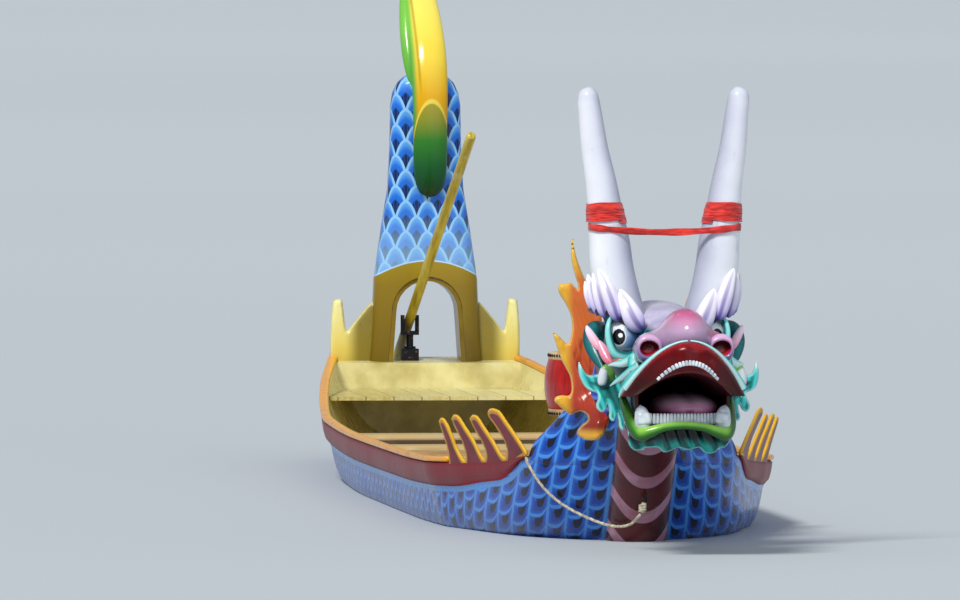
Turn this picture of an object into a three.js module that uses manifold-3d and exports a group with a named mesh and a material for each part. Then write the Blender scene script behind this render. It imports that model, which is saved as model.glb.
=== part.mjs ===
// A festival dragon boat, afloat: a long open hull, a carved dragon head at the bow and a tail at the stern.
// Millimetres. +X is port, -Y is ahead, +Z is up, and z = 0 is the surface of the water amidships.
import * as THREE from "three";
import { mergeVertices } from "three/addons/utils/BufferGeometryUtils.js";
import Module from "manifold-3d";

const wasm = await Module();
wasm.setup();

// Driving dimensions. Places along the boat are given as "aft": the distance behind the bow's waterline.
const BOW_Y = -4000;
const HULL_WALL = 20;
const SKIN_GAP = 1.5;
const TRIM_GAP = 0.7;
const STRAKE_THICK = 14;
const CAP_HEIGHT = 24;
const BENCH_ROWS = 9;
const BENCH_PITCH = 720;
const FIRST_BENCH_AFT = 1900;
const BENCH_TOP_Z = 190;
const BENCH_SIZE = { length: 210, thick: 26, clear: 10 };
const DRUM = { aft: 1080, radius: 292, foot: 520, top: 800 };
const HORN_TIE = { thick: 9 };
const ARCH = { aft: 9220, depth: 220, hole: 156, crown: 745, rim: 22 };
const OAR = {
  pivotX: -78, pivotAft: 9330, pivotZ: 705, radius: 25, inboard: 1772, outboard: 1700,
  bladeStart: 980, bladeHalf: 92, bladeThick: 18, tip: 40,
};

// The hull's lines: aft, then half-breadth and height of the gunwale, the sheer strake's foot, the bilge and
// the edge of the flat keel.
const STATIONS = [
  [-370, 160, 381, 158, 374, 150, 366, 140, 352],
  [-140, 345, 381, 325, 300, 250, 200, 142, 130],
  [50, 470, 378, 452, 292, 350, 95, 140, -45],
  [350, 540, 352, 535, 262, 470, 40, 135, -140],
  [700, 625, 330, 615, 235, 540, 0, 140, -190],
  [1100, 722, 312, 700, 200, 600, -20, 150, -212],
  [1500, 790, 300, 765, 190, 660, -40, 170, -220],
  [2500, 800, 288, 785, 178, 690, -50, 190, -220],
  [4700, 800, 280, 785, 170, 695, -50, 200, -220],
  [6500, 760, 288, 742, 178, 640, -45, 180, -215],
  [7500, 690, 322, 668, 215, 550, -20, 150, -195],
  [8300, 610, 405, 585, 295, 450, 40, 120, -140],
  [9000, 515, 475, 490, 365, 345, 130, 90, 0],
  [9490, 449, 510, 424, 404, 280, 206, 69, 92],
];

const COLOURS = {
  scales: 0x2f6fd8, maroon: 0x8a2a34, gold: 0xf0a030, belly: 0x4a1016, deck: 0xe8d880, wood: 0xc89a5a,
  teal: 0x1f9a9a, aqua: 0x7fe0e0, lip: 0x8a1018, green: 0x6fb030, tooth: 0xd0d6dc, tongue: 0xa06080,
  nose: 0xc05a8a, horn: 0xdcdfe8, petal: 0xc8b8e8, cloth: 0xe82018, eye: 0x9fb4cc, pink: 0xe0a0c0,
  fin: 0xe07030, tail: 0x4a90e0, plume: 0xe8d030, olive: 0x8a7010, oar: 0xd8c040, drum: 0xb01010,
  skin: 0xd8b080, rope: 0xd8ccb0, iron: 0x555a60,
};

const boat = new THREE.Group();
const pieces = new Map();

// A point from its breadth, its distance aft of the bow's waterline and its height.
function at(x, aft, z) {
  return new THREE.Vector3(x, BOW_Y + aft, z);
}

function material(colour, roughness = 0.5, metalness = 0) {
  return new THREE.MeshStandardMaterial({ color: COLOURS[colour], roughness, metalness });
}

// Adds a named piece to the boat or to one of its groups.
function add(name, geometry, colour, parent = boat) {
  const mesh = new THREE.Mesh(geometry, material(colour));
  mesh.name = name;
  parent.add(mesh);
  pieces.set(name, mesh);
  return mesh;
}

// A closed geometry as a solid for joining and cutting, in the place that the matrix gives it.
function solidOf(geometry, matrix = new THREE.Matrix4()) {
  const bare = geometry.clone().applyMatrix4(matrix);
  bare.deleteAttribute("normal");
  bare.deleteAttribute("uv");
  const merged = mergeVertices(bare, 1e-3);
  const vertProperties = new Float32Array(merged.attributes.position.array);
  const triVerts = new Uint32Array(merged.index.array);
  return new wasm.Manifold(new wasm.Mesh({ numProp: 3, vertProperties, triVerts }));
}

// The largest body of a solid, as a geometry.
function geometryOf(solid) {
  const bodies = solid.decompose();
  const largest = bodies.reduce((best, body) => (body.volume() > best.volume() ? body : best));
  const mesh = largest.getMesh();
  const geometry = new THREE.BufferGeometry();
  geometry.setAttribute("position", new THREE.BufferAttribute(new Float32Array(mesh.vertProperties), 3));
  geometry.setIndex(new THREE.BufferAttribute(new Uint32Array(mesh.triVerts), 1));
  return geometry;
}

function join(...geometries) {
  return geometryOf(geometries.map((geometry) => solidOf(geometry)).reduce((sum, solid) => sum.add(solid)));
}

function cut(geometry, ...tools) {
  return geometryOf(tools.reduce((left, tool) => left.subtract(solidOf(tool)), solidOf(geometry)));
}

// The same closed surface with every vertex moved outwards along its normal.
function grown(geometry, distance) {
  const bare = geometry.clone();
  bare.deleteAttribute("normal");
  bare.deleteAttribute("uv");
  const merged = mergeVertices(bare, 1e-3);
  merged.computeVertexNormals();
  const position = merged.attributes.position;
  const normal = merged.attributes.normal;
  const point = new THREE.Vector3();
  const push = new THREE.Vector3();
  for (let i = 0; i < position.count; i += 1) {
    point.fromBufferAttribute(position, i);
    push.fromBufferAttribute(normal, i);
    point.addScaledVector(push, distance);
    position.setXYZ(i, point.x, point.y, point.z);
  }
  return merged;
}

// Cuts one placed piece back from its neighbours, with a small gap between them.
function trim(name, neighbours, gap = TRIM_GAP) {
  const mesh = pieces.get(name);
  boat.updateMatrixWorld(true);
  const inverse = mesh.matrixWorld.clone().invert();
  const tools = neighbours.flatMap((neighbour) => {
    const other = pieces.get(neighbour);
    const place = inverse.clone().multiply(other.matrixWorld);
    return [grown(other.geometry, gap).applyMatrix4(place), other.geometry.clone().applyMatrix4(place)];
  });
  mesh.geometry = cut(mesh.geometry, ...tools);
}

// Six times the volume that a closed triangle list encloses, negative where its faces point inwards.
function signedVolume(positions, index) {
  let sum = 0;
  const corner = (i) => new THREE.Vector3().fromArray(positions, 3 * index[i]);
  for (let i = 0; i < index.length; i += 3) {
    sum += corner(i).dot(corner(i + 1).cross(corner(i + 2)));
  }
  return sum;
}

// A closed skin over rings of points that correspond one to one, with a flat fan on each end.
function loft(rings) {
  const count = rings[0].length;
  const positions = rings.flat().flatMap((point) => point.toArray());
  const index = [];
  for (let ring = 0; ring < rings.length - 1; ring += 1) {
    for (let side = 0; side < count; side += 1) {
      const a = ring * count + side;
      const b = ring * count + ((side + 1) % count);
      index.push(a, b, b + count, a, b + count, a + count);
    }
  }
  const ends = [[0, 1], [rings.length - 1, -1]];
  for (const [ring, way] of ends) {
    const middle = rings[ring].reduce((sum, point) => sum.add(point), new THREE.Vector3());
    middle.divideScalar(count);
    const centre = positions.length / 3;
    positions.push(...middle.toArray());
    for (let side = 0; side < count; side += 1) {
      const a = ring * count + side;
      const b = ring * count + ((side + 1) % count);
      index.push(centre, ...(way > 0 ? [b, a] : [a, b]));
    }
  }
  if (signedVolume(positions, index) < 0) {
    index.reverse();
  }
  const geometry = new THREE.BufferGeometry();
  geometry.setAttribute("position", new THREE.Float32BufferAttribute(positions, 3));
  geometry.setIndex(index);
  return geometry;
}

// A ring of points on an ellipse: centre, two half-axes as vectors, and the number of sides.
function ellipse(centre, u, v, sides) {
  return Array.from({ length: sides }, (_, i) => {
    const angle = (2 * Math.PI * i) / sides;
    return centre.clone().addScaledVector(u, Math.cos(angle)).addScaledVector(v, Math.sin(angle));
  });
}

// A round limb through places given as rows of x, aft, z and radius, with an optional flattening.
function limb(rows, sides = 10, flat = 1) {
  const centres = rows.map(([x, aft, z]) => at(x, aft, z));
  let across = new THREE.Vector3(0, -1, 0);
  const rings = rows.map(([, , , radius], i) => {
    const before = centres[Math.max(i - 1, 0)];
    const after = centres[Math.min(i + 1, rows.length - 1)];
    const along = after.clone().sub(before).normalize();
    across = across.clone().addScaledVector(along, -across.dot(along)).normalize();
    const other = along.clone().cross(across);
    const u = across.clone().multiplyScalar(radius * flat);
    return ellipse(centres[i], u, other.multiplyScalar(radius), sides);
  });
  return loft(rings);
}

// A plate whose outline is given as x and z, standing across the boat with its front face at aft.
function crossPlate(outline, aft, depth, holes = []) {
  const shape = new THREE.Shape(outline.map(([x, z]) => new THREE.Vector2(x, z)));
  shape.holes = holes.map((hole) => new THREE.Path(hole.map(([x, z]) => new THREE.Vector2(x, z))));
  const geometry = new THREE.ExtrudeGeometry(shape, { depth, bevelEnabled: false });
  return geometry.rotateX(Math.PI / 2).translate(0, BOW_Y + aft + depth, 0);
}

function box(x, aft, z, width, length, height) {
  return new THREE.BoxGeometry(width, length, height).translate(x, BOW_Y + aft, z);
}

function ball(x, aft, z, width, length, height, segments = 16) {
  const geometry = new THREE.SphereGeometry(0.5, segments, segments / 2);
  return geometry.scale(width, length, height).translate(x, BOW_Y + aft, z);
}

// A copy on the other side of the boat, with its faces still pointing outwards.
function mirrored(geometry) {
  const copy = geometry.clone().scale(-1, 1, 1);
  const index = copy.index ? Array.from(copy.index.array) : [...Array(copy.attributes.position.count).keys()];
  copy.setIndex(index.reverse());
  return copy;
}

// Adds a starboard piece (negative x) and its mirror image to port.
function addPair(name, geometry, colour) {
  add(`${name}_starboard`, geometry, colour);
  add(`${name}_port`, mirrored(geometry), colour);
}

// The hull's lines at one place, between the two stations around it.
function station(aft) {
  const last = STATIONS.length - 1;
  let i = STATIONS.findIndex((row) => row[0] >= aft);
  i = Math.min(Math.max(i < 0 ? last : i, 1), last);
  const share = (aft - STATIONS[i - 1][0]) / (STATIONS[i][0] - STATIONS[i - 1][0]);
  return STATIONS[i].map((value, column) => THREE.MathUtils.lerp(STATIONS[i - 1][column], value, share));
}

// Half of a section from gunwale to keel, as x and z, moved inwards by the inset.
function halfSection(aft, inset = 0) {
  const [, gunwale, gunwaleZ, foot, footZ, bilge, bilgeZ, keel, keelZ] = station(aft);
  const controls = [[gunwale, gunwaleZ], [foot, footZ], [bilge, bilgeZ], [keel, keelZ]];
  const curve = new THREE.SplineCurve(controls.map(([x, z]) => new THREE.Vector2(x, z)));
  const points = curve.getPoints(6).map((point) => [point.x - inset, point.y + inset]);
  return inset > 0 ? [[points[0][0], points[0][1] + 60], ...points] : points;
}

function sectionRing(aft, inset = 0) {
  const half = halfSection(aft, inset);
  const port = half.map(([x, z]) => at(x, aft, z));
  const starboard = half.map(([x, z]) => at(-x, aft, z)).reverse();
  return [...port, ...starboard];
}

function stationsBetween(first, last) {
  const inner = STATIONS.map(([aft]) => aft).filter((aft) => aft > first && aft < last);
  return [first, ...inner, last];
}

// Hull: the outer skin, hollowed out, with a solid bow and transom.
const HOLLOW = { first: 230, last: 9180 };
const outer = loft(STATIONS.map(([aft]) => sectionRing(aft)));
const inner = loft(stationsBetween(HOLLOW.first, HOLLOW.last).map((aft) => sectionRing(aft, HULL_WALL)));
add("hull_shell", cut(outer, inner), "scales");

// Sheer strakes: a maroon band on the outside of each side, under the gold cap.
function strakeRing(aft) {
  const side = halfSection(aft).slice(0, 3);
  const near = side.map(([x, z]) => at(-x - SKIN_GAP, aft, z));
  const far = side.map(([x, z]) => at(-x - SKIN_GAP - STRAKE_THICK, aft, z));
  return [...near, ...far.reverse()];
}

addPair("sheer_strake", loft(stationsBetween(60, 9480).map(strakeRing)), "maroon");
for (const side of ["starboard", "port"]) {
  trim(`sheer_strake_${side}`, ["hull_shell"]);
}

// Gunwale caps: a gold rail along the rim, from behind the prong plates to the stern.
const CAP = { inside: 26, outside: 20, gap: 0.6 };

function capRing(aft) {
  const [, x, z] = station(aft);
  const low = z + CAP.gap;
  const high = z + CAP_HEIGHT;
  const near = -x + CAP.inside;
  const far = -x - CAP.outside;
  return [at(near, aft, low), at(far, aft, low), at(far, aft, high), at(near, aft, high)];
}

addPair("gunwale_cap", loft(stationsBetween(1120, 9470).map(capRing)), "gold");

// Prong plates: four prongs that sweep aft, on the gunwale beside the bow. Their outlines are given along the
// gunwale and up the plate.
const PRONG_PLATE = { thick: 22, lean: 0.3 };
const PRONG_OUTLINE = [
  [0, 0], [300, 205], [325, 222], [352, 222], [362, 205], [345, 180], [312, 70], [316, 42], [335, 30],
  [356, 36], [560, 185], [585, 200], [608, 198], [616, 182], [600, 158], [588, 60], [595, 36], [615, 26],
  [634, 34], [820, 176], [845, 190], [868, 187], [874, 170], [858, 146], [852, 52], [860, 30], [880, 20],
  [898, 30],
  [1040, 158], [1064, 172], [1086, 168], [1092, 152], [1080, 128], [1075, 0],
];

function prongPlate() {
  const [, frontX, frontZ] = station(55);
  const [, rearX, rearZ] = station(1110);
  const front = at(-frontX - 10, 55, frontZ + 2);
  const along = at(-rearX - 10, 1110, rearZ + 2).sub(front).normalize();
  const out = new THREE.Vector3(-1, 0, 0);
  const up = new THREE.Vector3(0, 0, 1).addScaledVector(out, PRONG_PLATE.lean);
  up.addScaledVector(along, -up.dot(along)).normalize();
  const normal = along.clone().cross(up);
  const shape = new THREE.Shape(PRONG_OUTLINE.map(([s, h]) => new THREE.Vector2(s, h)));
  const geometry = new THREE.ExtrudeGeometry(shape, { depth: PRONG_PLATE.thick, bevelEnabled: false });
  geometry.translate(0, 0, -PRONG_PLATE.thick / 2);
  return geometry.applyMatrix4(new THREE.Matrix4().makeBasis(along, up, normal).setPosition(front));
}

addPair("prong_plate", prongPlate(), "maroon");
for (const side of ["starboard", "port"]) {
  trim(`prong_plate_${side}`, ["hull_shell", `sheer_strake_${side}`, `gunwale_cap_${side}`]);
}

// Belly strip: a rounded band up the stem. Its rows are aft and height of the edges, then of the centre line.
const STRIP = { edge: 138 };
const STRIP_ROWS = [
  [348, -142, 250, -205], [48, -47, -130, -80], [-142, 128, -325, 130], [-372, 350, -505, 345],
  [-480, 480, -600, 465], [-575, 600, -660, 560],
];

function stripRing([edgeAft, edgeZ, midAft, midZ]) {
  const bulge = [-1, -0.66, -0.33, 0, 0.33, 0.66, 1];
  return bulge.map((share) => {
    const rise = Math.sqrt(Math.max(1 - share * share, 0));
    const aft = THREE.MathUtils.lerp(edgeAft, midAft, rise);
    return at(STRIP.edge * share, aft - SKIN_GAP, THREE.MathUtils.lerp(edgeZ, midZ, rise));
  });
}

add("belly_strip", loft(STRIP_ROWS.map(stripRing)), "belly");

// Neck: level rings from the hull's rim up to the head. Rows are height, then aft and half-breadth of the
// front, the widest place and the back.
const NECK_ROWS = [
  [383, -366, 156, 48, 466, 330, 300],
  [440, -420, 140, 20, 448, 270, 280],
  [500, -478, 138, -10, 396, 210, 240],
  [590, -562, 138, -70, 326, 130, 195],
  [700, -640, 138, -130, 280, 60, 165],
  [850, -640, 130, -190, 232, 0, 140],
  [990, -600, 110, -260, 190, -70, 110],
];

function neckRing([z, frontAft, frontX, wideAft, wideX, backAft, backX]) {
  const controls = [[0, frontAft], [frontX, frontAft], [wideX, wideAft], [backX, backAft], [0, backAft + 20]];
  const [, ...side] = controls;
  const curve = new THREE.SplineCurve(side.map(([x, aft]) => new THREE.Vector2(x, aft)));
  const half = curve.getPoints(9).slice(0, -1);
  const port = half.map((point) => at(point.x, point.y, z));
  const starboard = half.map((point) => at(-point.x, point.y, z)).reverse();
  return [...port, at(0, backAft + 20, z), ...starboard];
}

add("neck", loft(NECK_ROWS.map(neckRing)), "scales");
trim("belly_strip", ["hull_shell", "neck"]);

// Decks, floor and benches, each cut to the hull's inside.
add("foredeck", box(0, 540, 268, 1400, 560, 18), "deck");
add("stern_deck", box(0, 8640, 348, 1400, 1060, 18), "deck");
add("floor_boards", box(0, 4500, -165, 420, 6300, 16), "wood");

// The half-breadth that is free for a bench at its front and its back edge, at one height inside the hull.
function freeBreadths(aft, z) {
  return [-1, 1].map((way) => {
    const half = halfSection(aft + (way * BENCH_SIZE.length) / 2);
    const i = half.findIndex((point) => point[1] <= z);
    const share = (z - half[i - 1][1]) / (half[i][1] - half[i - 1][1]);
    return THREE.MathUtils.lerp(half[i - 1][0], half[i][0], share) - HULL_WALL - BENCH_SIZE.clear;
  });
}

// Benches: one board a row, all fixed on two bearers that run along the boat.
function benchRow(row) {
  const aft = FIRST_BENCH_AFT + BENCH_PITCH * row;
  const reach = 2 * Math.min(...freeBreadths(aft, BENCH_TOP_Z - BENCH_SIZE.thick - 6));
  return box(0, aft, BENCH_TOP_Z - BENCH_SIZE.thick / 2, reach, BENCH_SIZE.length, BENCH_SIZE.thick);
}

const BEARER = { x: 400, width: 34, height: 62, overhang: 260, sink: 1 };
const benchSpan = BENCH_PITCH * (BENCH_ROWS - 1);
const bearerZ = BENCH_TOP_Z - BENCH_SIZE.thick - BEARER.height / 2 + BEARER.sink;
const bearers = [-1, 1].map((side) => box(
  side * BEARER.x, FIRST_BENCH_AFT + benchSpan / 2, bearerZ,
  BEARER.width, benchSpan + BEARER.overhang, BEARER.height,
));
add("benches", join(...bearers, ...Array.from({ length: BENCH_ROWS }, (_, row) => benchRow(row))), "wood");
for (const name of ["foredeck", "stern_deck", "floor_boards"]) {
  trim(name, ["hull_shell", "neck"]);
}

// Drummer's seat on a pedestal, and the drum on its four-legged stand, on the floor boards.
const FLOOR_TOP = -140;
const SEAT = { aft: 1520, width: 360, length: 240, top: 560, thick: 40 };
add("drummer_seat", join(
  box(0, SEAT.aft, SEAT.top - SEAT.thick / 2, SEAT.width, SEAT.length, SEAT.thick),
  box(0, SEAT.aft, (SEAT.top + FLOOR_TOP) / 2 - 20, 200, 160, SEAT.top - FLOOR_TOP - 40),
), "wood");
trim("drummer_seat", ["floor_boards"]);

const STAND = { spread: 170, leg: 42, ring: 30 };

function drumStand() {
  const height = DRUM.foot - FLOOR_TOP - 2;
  const legs = [[-1, -1], [1, -1], [1, 1], [-1, 1]].map(([x, y]) => (
    box(x * STAND.spread, DRUM.aft + y * STAND.spread, FLOOR_TOP + height / 2, STAND.leg, STAND.leg, height)
  ));
  const long = 2 * STAND.spread + STAND.leg;
  const rails = [DRUM.foot - 2 - STAND.ring / 2, FLOOR_TOP + 60].flatMap((z) => [
    box(0, DRUM.aft - STAND.spread, z, long, STAND.ring, STAND.ring),
    box(0, DRUM.aft + STAND.spread, z, long, STAND.ring, STAND.ring),
    box(-STAND.spread, DRUM.aft, z, STAND.ring, long, STAND.ring),
    box(STAND.spread, DRUM.aft, z, STAND.ring, long, STAND.ring),
  ]);
  return join(...legs, ...rails);
}

add("drum_stand", drumStand(), "maroon");
trim("drum_stand", ["floor_boards", "foredeck", "hull_shell"]);

// Drum: a bulging barrel, and a skin stretched over each end with a band of studs round its rim.
const drum = new THREE.Group();
drum.position.copy(at(0, DRUM.aft, (DRUM.foot + DRUM.top) / 2));
boat.add(drum);
const DRUM_HALF = (DRUM.top - DRUM.foot) / 2;
const DRUM_RIM = DRUM.radius - 30;

function turned(profile, sides) {
  const points = profile.map(([radius, z]) => new THREE.Vector2(radius, z));
  return new THREE.LatheGeometry(points, sides).rotateX(Math.PI / 2);
}

function barrelRadius(z) {
  return DRUM.radius - (DRUM.radius - DRUM_RIM) * (z / DRUM_HALF) ** 2;
}

const BARREL_HEIGHTS = [-1, -0.6, -0.2, 0.2, 0.6, 1].map((share) => share * (DRUM_HALF - 1));
const barrel = [[0, -DRUM_HALF + 1], ...BARREL_HEIGHTS.map((z) => [barrelRadius(z), z]), [0, DRUM_HALF - 1]];
add("drum_barrel", turned(barrel, 24), "drum", drum);

function drumSkin(way) {
  const rim = DRUM_HALF - 34;
  const profile = [
    [0, DRUM_HALF], [DRUM_RIM + 2, DRUM_HALF], [barrelRadius(rim) + 2, rim], [barrelRadius(rim) + 7, rim],
    [DRUM_RIM + 8, DRUM_HALF + 3], [DRUM_RIM, DRUM_HALF + 6], [0, DRUM_HALF + 6],
  ];
  return turned(profile, 24).rotateX(way < 0 ? Math.PI : 0);
}

add("drum_skin_top", drumSkin(1), "skin", drum);
add("drum_skin_bottom", drumSkin(-1), "skin", drum);
for (const name of ["drum_skin_top", "drum_skin_bottom"]) {
  trim(name, ["drum_barrel"]);
}
trim("drum_stand", ["drum_skin_bottom", "drum_barrel"]);

// Tail: an upright column with an arch through its foot. Rows are height, half-breadth and half-depth.
const TAIL_ROWS = [
  [420, 292, 112], [620, 275, 112], [800, 266, 112], [900, 262, 112], [990, 250, 112], [1180, 222, 110],
  [1360, 192, 106], [1580, 181, 102], [1785, 177, 96], [1850, 166, 90], [1900, 142, 78], [1935, 102, 58],
  [1952, 40, 24],
];

function roundedBlockRing(z, x, depth, sides = 20) {
  return Array.from({ length: sides }, (_, i) => {
    const angle = (2 * Math.PI * (i + 0.5)) / sides;
    const square = (value) => Math.sign(value) * Math.abs(value) ** 0.62;
    return at(x * square(Math.cos(angle)), ARCH.aft + ARCH.depth / 2 + depth * square(Math.sin(angle)), z);
  });
}

function archOutline(radius, foot, spread = 0) {
  const crown = Array.from({ length: 13 }, (_, i) => {
    const angle = (Math.PI * i) / 12;
    return [radius * Math.cos(angle), ARCH.crown + radius * Math.sin(angle)];
  });
  return [[radius + spread, foot], ...crown, [-radius - spread, foot]];
}

const ARCH_SPREAD = 34;
const ARCH_FOOT = 300;
const columnHole = archOutline(ARCH.hole + ARCH.rim, ARCH_FOOT, ARCH_SPREAD);
const archWay = crossPlate(columnHole, ARCH.aft - 100, ARCH.depth + 200);
add("tail", cut(loft(TAIL_ROWS.map((row) => roundedBlockRing(...row))), archWay), "tail");
trim("tail", ["hull_shell", "stern_deck"]);

const liningShape = archOutline(ARCH.hole + ARCH.rim - 1, ARCH_FOOT, ARCH_SPREAD);
const liningHole = archOutline(ARCH.hole, ARCH_FOOT - 100, ARCH_SPREAD + 4);
const lining = crossPlate(liningShape, ARCH.aft + 8, ARCH.depth - 16);
const liningWay = crossPlate(liningHole, ARCH.aft - 50, ARCH.depth + 100);
add("tail_arch_lining", cut(lining, liningWay), "olive");
trim("tail_arch_lining", ["tail", "hull_shell", "stern_deck"]);

// Head. The skull's rows are aft, half-breadth, then the height of its underside and its top.
const SKULL_ROWS = [
  [-180, 130, 760, 950], [-420, 225, 640, 1050], [-780, 262, 590, 1105], [-1120, 245, 610, 1085],
  [-1400, 205, 700, 1000], [-1600, 190, 770, 950],
];

function roundedRing(x, aft, low, high, sides = 16) {
  const centre = at(0, aft, (low + high) / 2);
  return ellipse(centre, new THREE.Vector3(x, 0, 0), new THREE.Vector3(0, 0, (high - low) / 2), sides);
}

add("skull", loft(SKULL_ROWS.map(([aft, x, low, high]) => roundedRing(x, aft, low, high))), "teal");
trim("skull", ["neck"]);

// Upper lip: an arch that flares towards the front and leads there by SNOUT_LEAD. Its rows are aft, then
// half-breadth, foot and crown of the outside and of the mouth's opening.
const LIP_ROWS = [
  [-1180, 232, 690, 930, 150, 690, 800], [-1500, 242, 700, 930, 160, 700, 830],
  [-1720, 262, 708, 945, 184, 706, 860], [-1850, 276, 716, 957, 202, 712, 884],
  [-1890, 266, 722, 945, 206, 716, 888],
];
const SNOUT_LEAD = 230;
const LIP_FULLNESS = { outside: 2, opening: 2.1 };

function arch(x, aft, foot, crown, lead, fullness, steps = 12) {
  return Array.from({ length: steps + 1 }, (_, i) => {
    const share = Math.cos((Math.PI * i) / steps);
    const rise = 1 - Math.abs(share) ** fullness;
    return at(x * share, aft - lead * (1 - share * share), foot + (crown - foot) * rise);
  });
}

function lipLead(aft) {
  return (SNOUT_LEAD * (aft - LIP_ROWS[0][0])) / (LIP_ROWS[3][0] - LIP_ROWS[0][0]);
}

function lipOutside([aft, x, foot, crown]) {
  return arch(x, aft, foot, crown, lipLead(aft), LIP_FULLNESS.outside);
}

const OPENING = { below: 60, ahead: 120 };

function lipOpening([aft, , , , x, foot, crown]) {
  const edge = arch(x, aft, foot, crown, lipLead(aft), LIP_FULLNESS.opening);
  return [at(x, aft, foot - OPENING.below), ...edge, at(-x, aft, foot - OPENING.below)];
}

const frontRow = LIP_ROWS[LIP_ROWS.length - 1];
const aheadRow = [frontRow[0] - OPENING.ahead, ...frontRow.slice(1)];
const behindRow = [LIP_ROWS[0][0] + OPENING.ahead, ...LIP_ROWS[0].slice(1)];
const lipBody = loft(LIP_ROWS.map(lipOutside));
add("upper_lip", cut(lipBody, loft([behindRow, ...LIP_ROWS, aheadRow].map(lipOpening))), "lip");
trim("upper_lip", ["skull"]);

// Teeth of the upper jaw: a narrow arc under the lip.
function teethArc(rows, z, height) {
  return loft(rows.map(([x, aft]) => {
    const low = z(x);
    const high = low + height;
    return [at(x, aft - 14, low), at(x, aft + 14, low), at(x, aft + 14, high), at(x, aft - 14, high)];
  }));
}

const UPPER_TEETH = [
  [-132, -1972], [-100, -2020], [-50, -2060], [0, -2072], [50, -2060], [100, -2020], [132, -1972],
];
const UPPER_ARC = { crown: 852, drop: 72, half: 132, height: 25 };
const upperArcZ = (x) => UPPER_ARC.crown - UPPER_ARC.drop * (x / UPPER_ARC.half) ** 2;
add("upper_teeth", teethArc(UPPER_TEETH, upperArcZ, UPPER_ARC.height), "tooth");

// Lower jaw: rows are aft, half-breadth, underside and top.
const JAW_ROWS = [
  [-880, 200, 480, 600], [-1300, 222, 490, 592], [-1650, 212, 500, 584], [-1850, 190, 520, 578],
];
const JAW_CHINE = { rise: 20, share: 0.7 };
add("lower_jaw", loft(JAW_ROWS.map(([aft, x, low, high]) => {
  const side = [at(x, aft, high), at(x, aft, low + JAW_CHINE.rise), at(x * JAW_CHINE.share, aft, low)];
  const mirror = side.map((point) => point.clone().setX(-point.x)).reverse();
  return [...side, ...mirror];
})), "teal");
trim("lower_jaw", ["skull", "neck", "belly_strip"]);

// Lower lip: a green roll from the corner of the mouth, down to the chin's corner and across its front.
const LOWER_LIP_ROWS = [
  [-232, -1560, 690, 22], [-228, -1660, 650, 24], [-205, -1790, 575, 25], [-196, -1850, 548, 26],
  [-150, -1876, 560, 24], [-80, -1890, 575, 22], [0, -1894, 580, 22],
];
const portLipRows = LOWER_LIP_ROWS.slice(0, -1).reverse().map(([x, ...rest]) => [-x, ...rest]);
add("lower_lip", limb([...LOWER_LIP_ROWS, ...portLipRows], 10), "green");
trim("lower_lip", ["upper_lip", "lower_jaw"]);

const LOWER_TEETH = [
  [-152, -1845], [-110, -1862], [-55, -1876], [0, -1880], [55, -1876], [110, -1862], [152, -1845],
];
const canine = limb([[-168, -1840, 580, 30], [-172, -1840, 622, 24], [-166, -1842, 664, 6]], 8);
add("lower_teeth", join(teethArc(LOWER_TEETH, () => 582, 48), canine, mirrored(canine)), "tooth");
trim("lower_teeth", ["lower_lip", "lower_jaw"], 2);
add("tongue", ball(0, -1560, 640, 308, 560, 150), "tongue");
trim("tongue", ["lower_jaw", "lower_teeth", "upper_lip", "skull"]);

// Nose: a bulge between two rings for the nostrils.
function nose() {
  const parts = [
    ball(6, -1880, 975, 236, 420, 240),
    ball(-158, -1830, 912, 150, 290, 140),
    ball(158, -1830, 912, 150, 290, 140),
  ];
  const holes = [-1, 1].map((side) => ball(side * 168, -1975, 916, 66, 150, 56));
  return cut(join(...parts), ...holes);
}

add("nose", nose(), "nose");
trim("nose", ["skull", "upper_lip"]);

// Eyes with their lids, brows with their petals, ears, tusks and tufts: a starboard one and its mirror image.
addPair("eye", ball(-192, -1180, 942, 150, 150, 150), "eye");
const lid = cut(ball(-194, -1130, 942, 200, 180, 196), ball(-190, -1196, 942, 164, 200, 164));
addPair("lid", lid, "aqua");

const PETALS = [
  [[-110, -1290, 1010, 26], [-150, -1270, 1060, 34], [-165, -1240, 1120, 30], [-168, -1220, 1160, 5]],
  [[-130, -1230, 1010, 28], [-190, -1210, 1070, 38], [-230, -1180, 1150, 36], [-250, -1150, 1220, 6]],
  [[-170, -1180, 1020, 26], [-240, -1150, 1070, 34], [-280, -1120, 1130, 30], [-300, -1090, 1195, 5]],
  [[-200, -1140, 1020, 24], [-270, -1110, 1050, 30], [-315, -1080, 1100, 26], [-335, -1050, 1155, 5]],
  [[-210, -1100, 1010, 20], [-290, -1070, 1030, 26], [-335, -1040, 1075, 22], [-352, -1010, 1120, 5]],
];
const BROW_ROWS = [
  [-60, -1330, 985, 14], [-110, -1290, 1005, 34], [-180, -1210, 1020, 40], [-230, -1110, 1015, 34],
  [-250, -1020, 1000, 10],
];
const browRoll = limb(BROW_ROWS, 10);
addPair("brow", join(browRoll, ...PETALS.map((rows) => limb(rows, 8, 0.6))), "petal");

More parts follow.
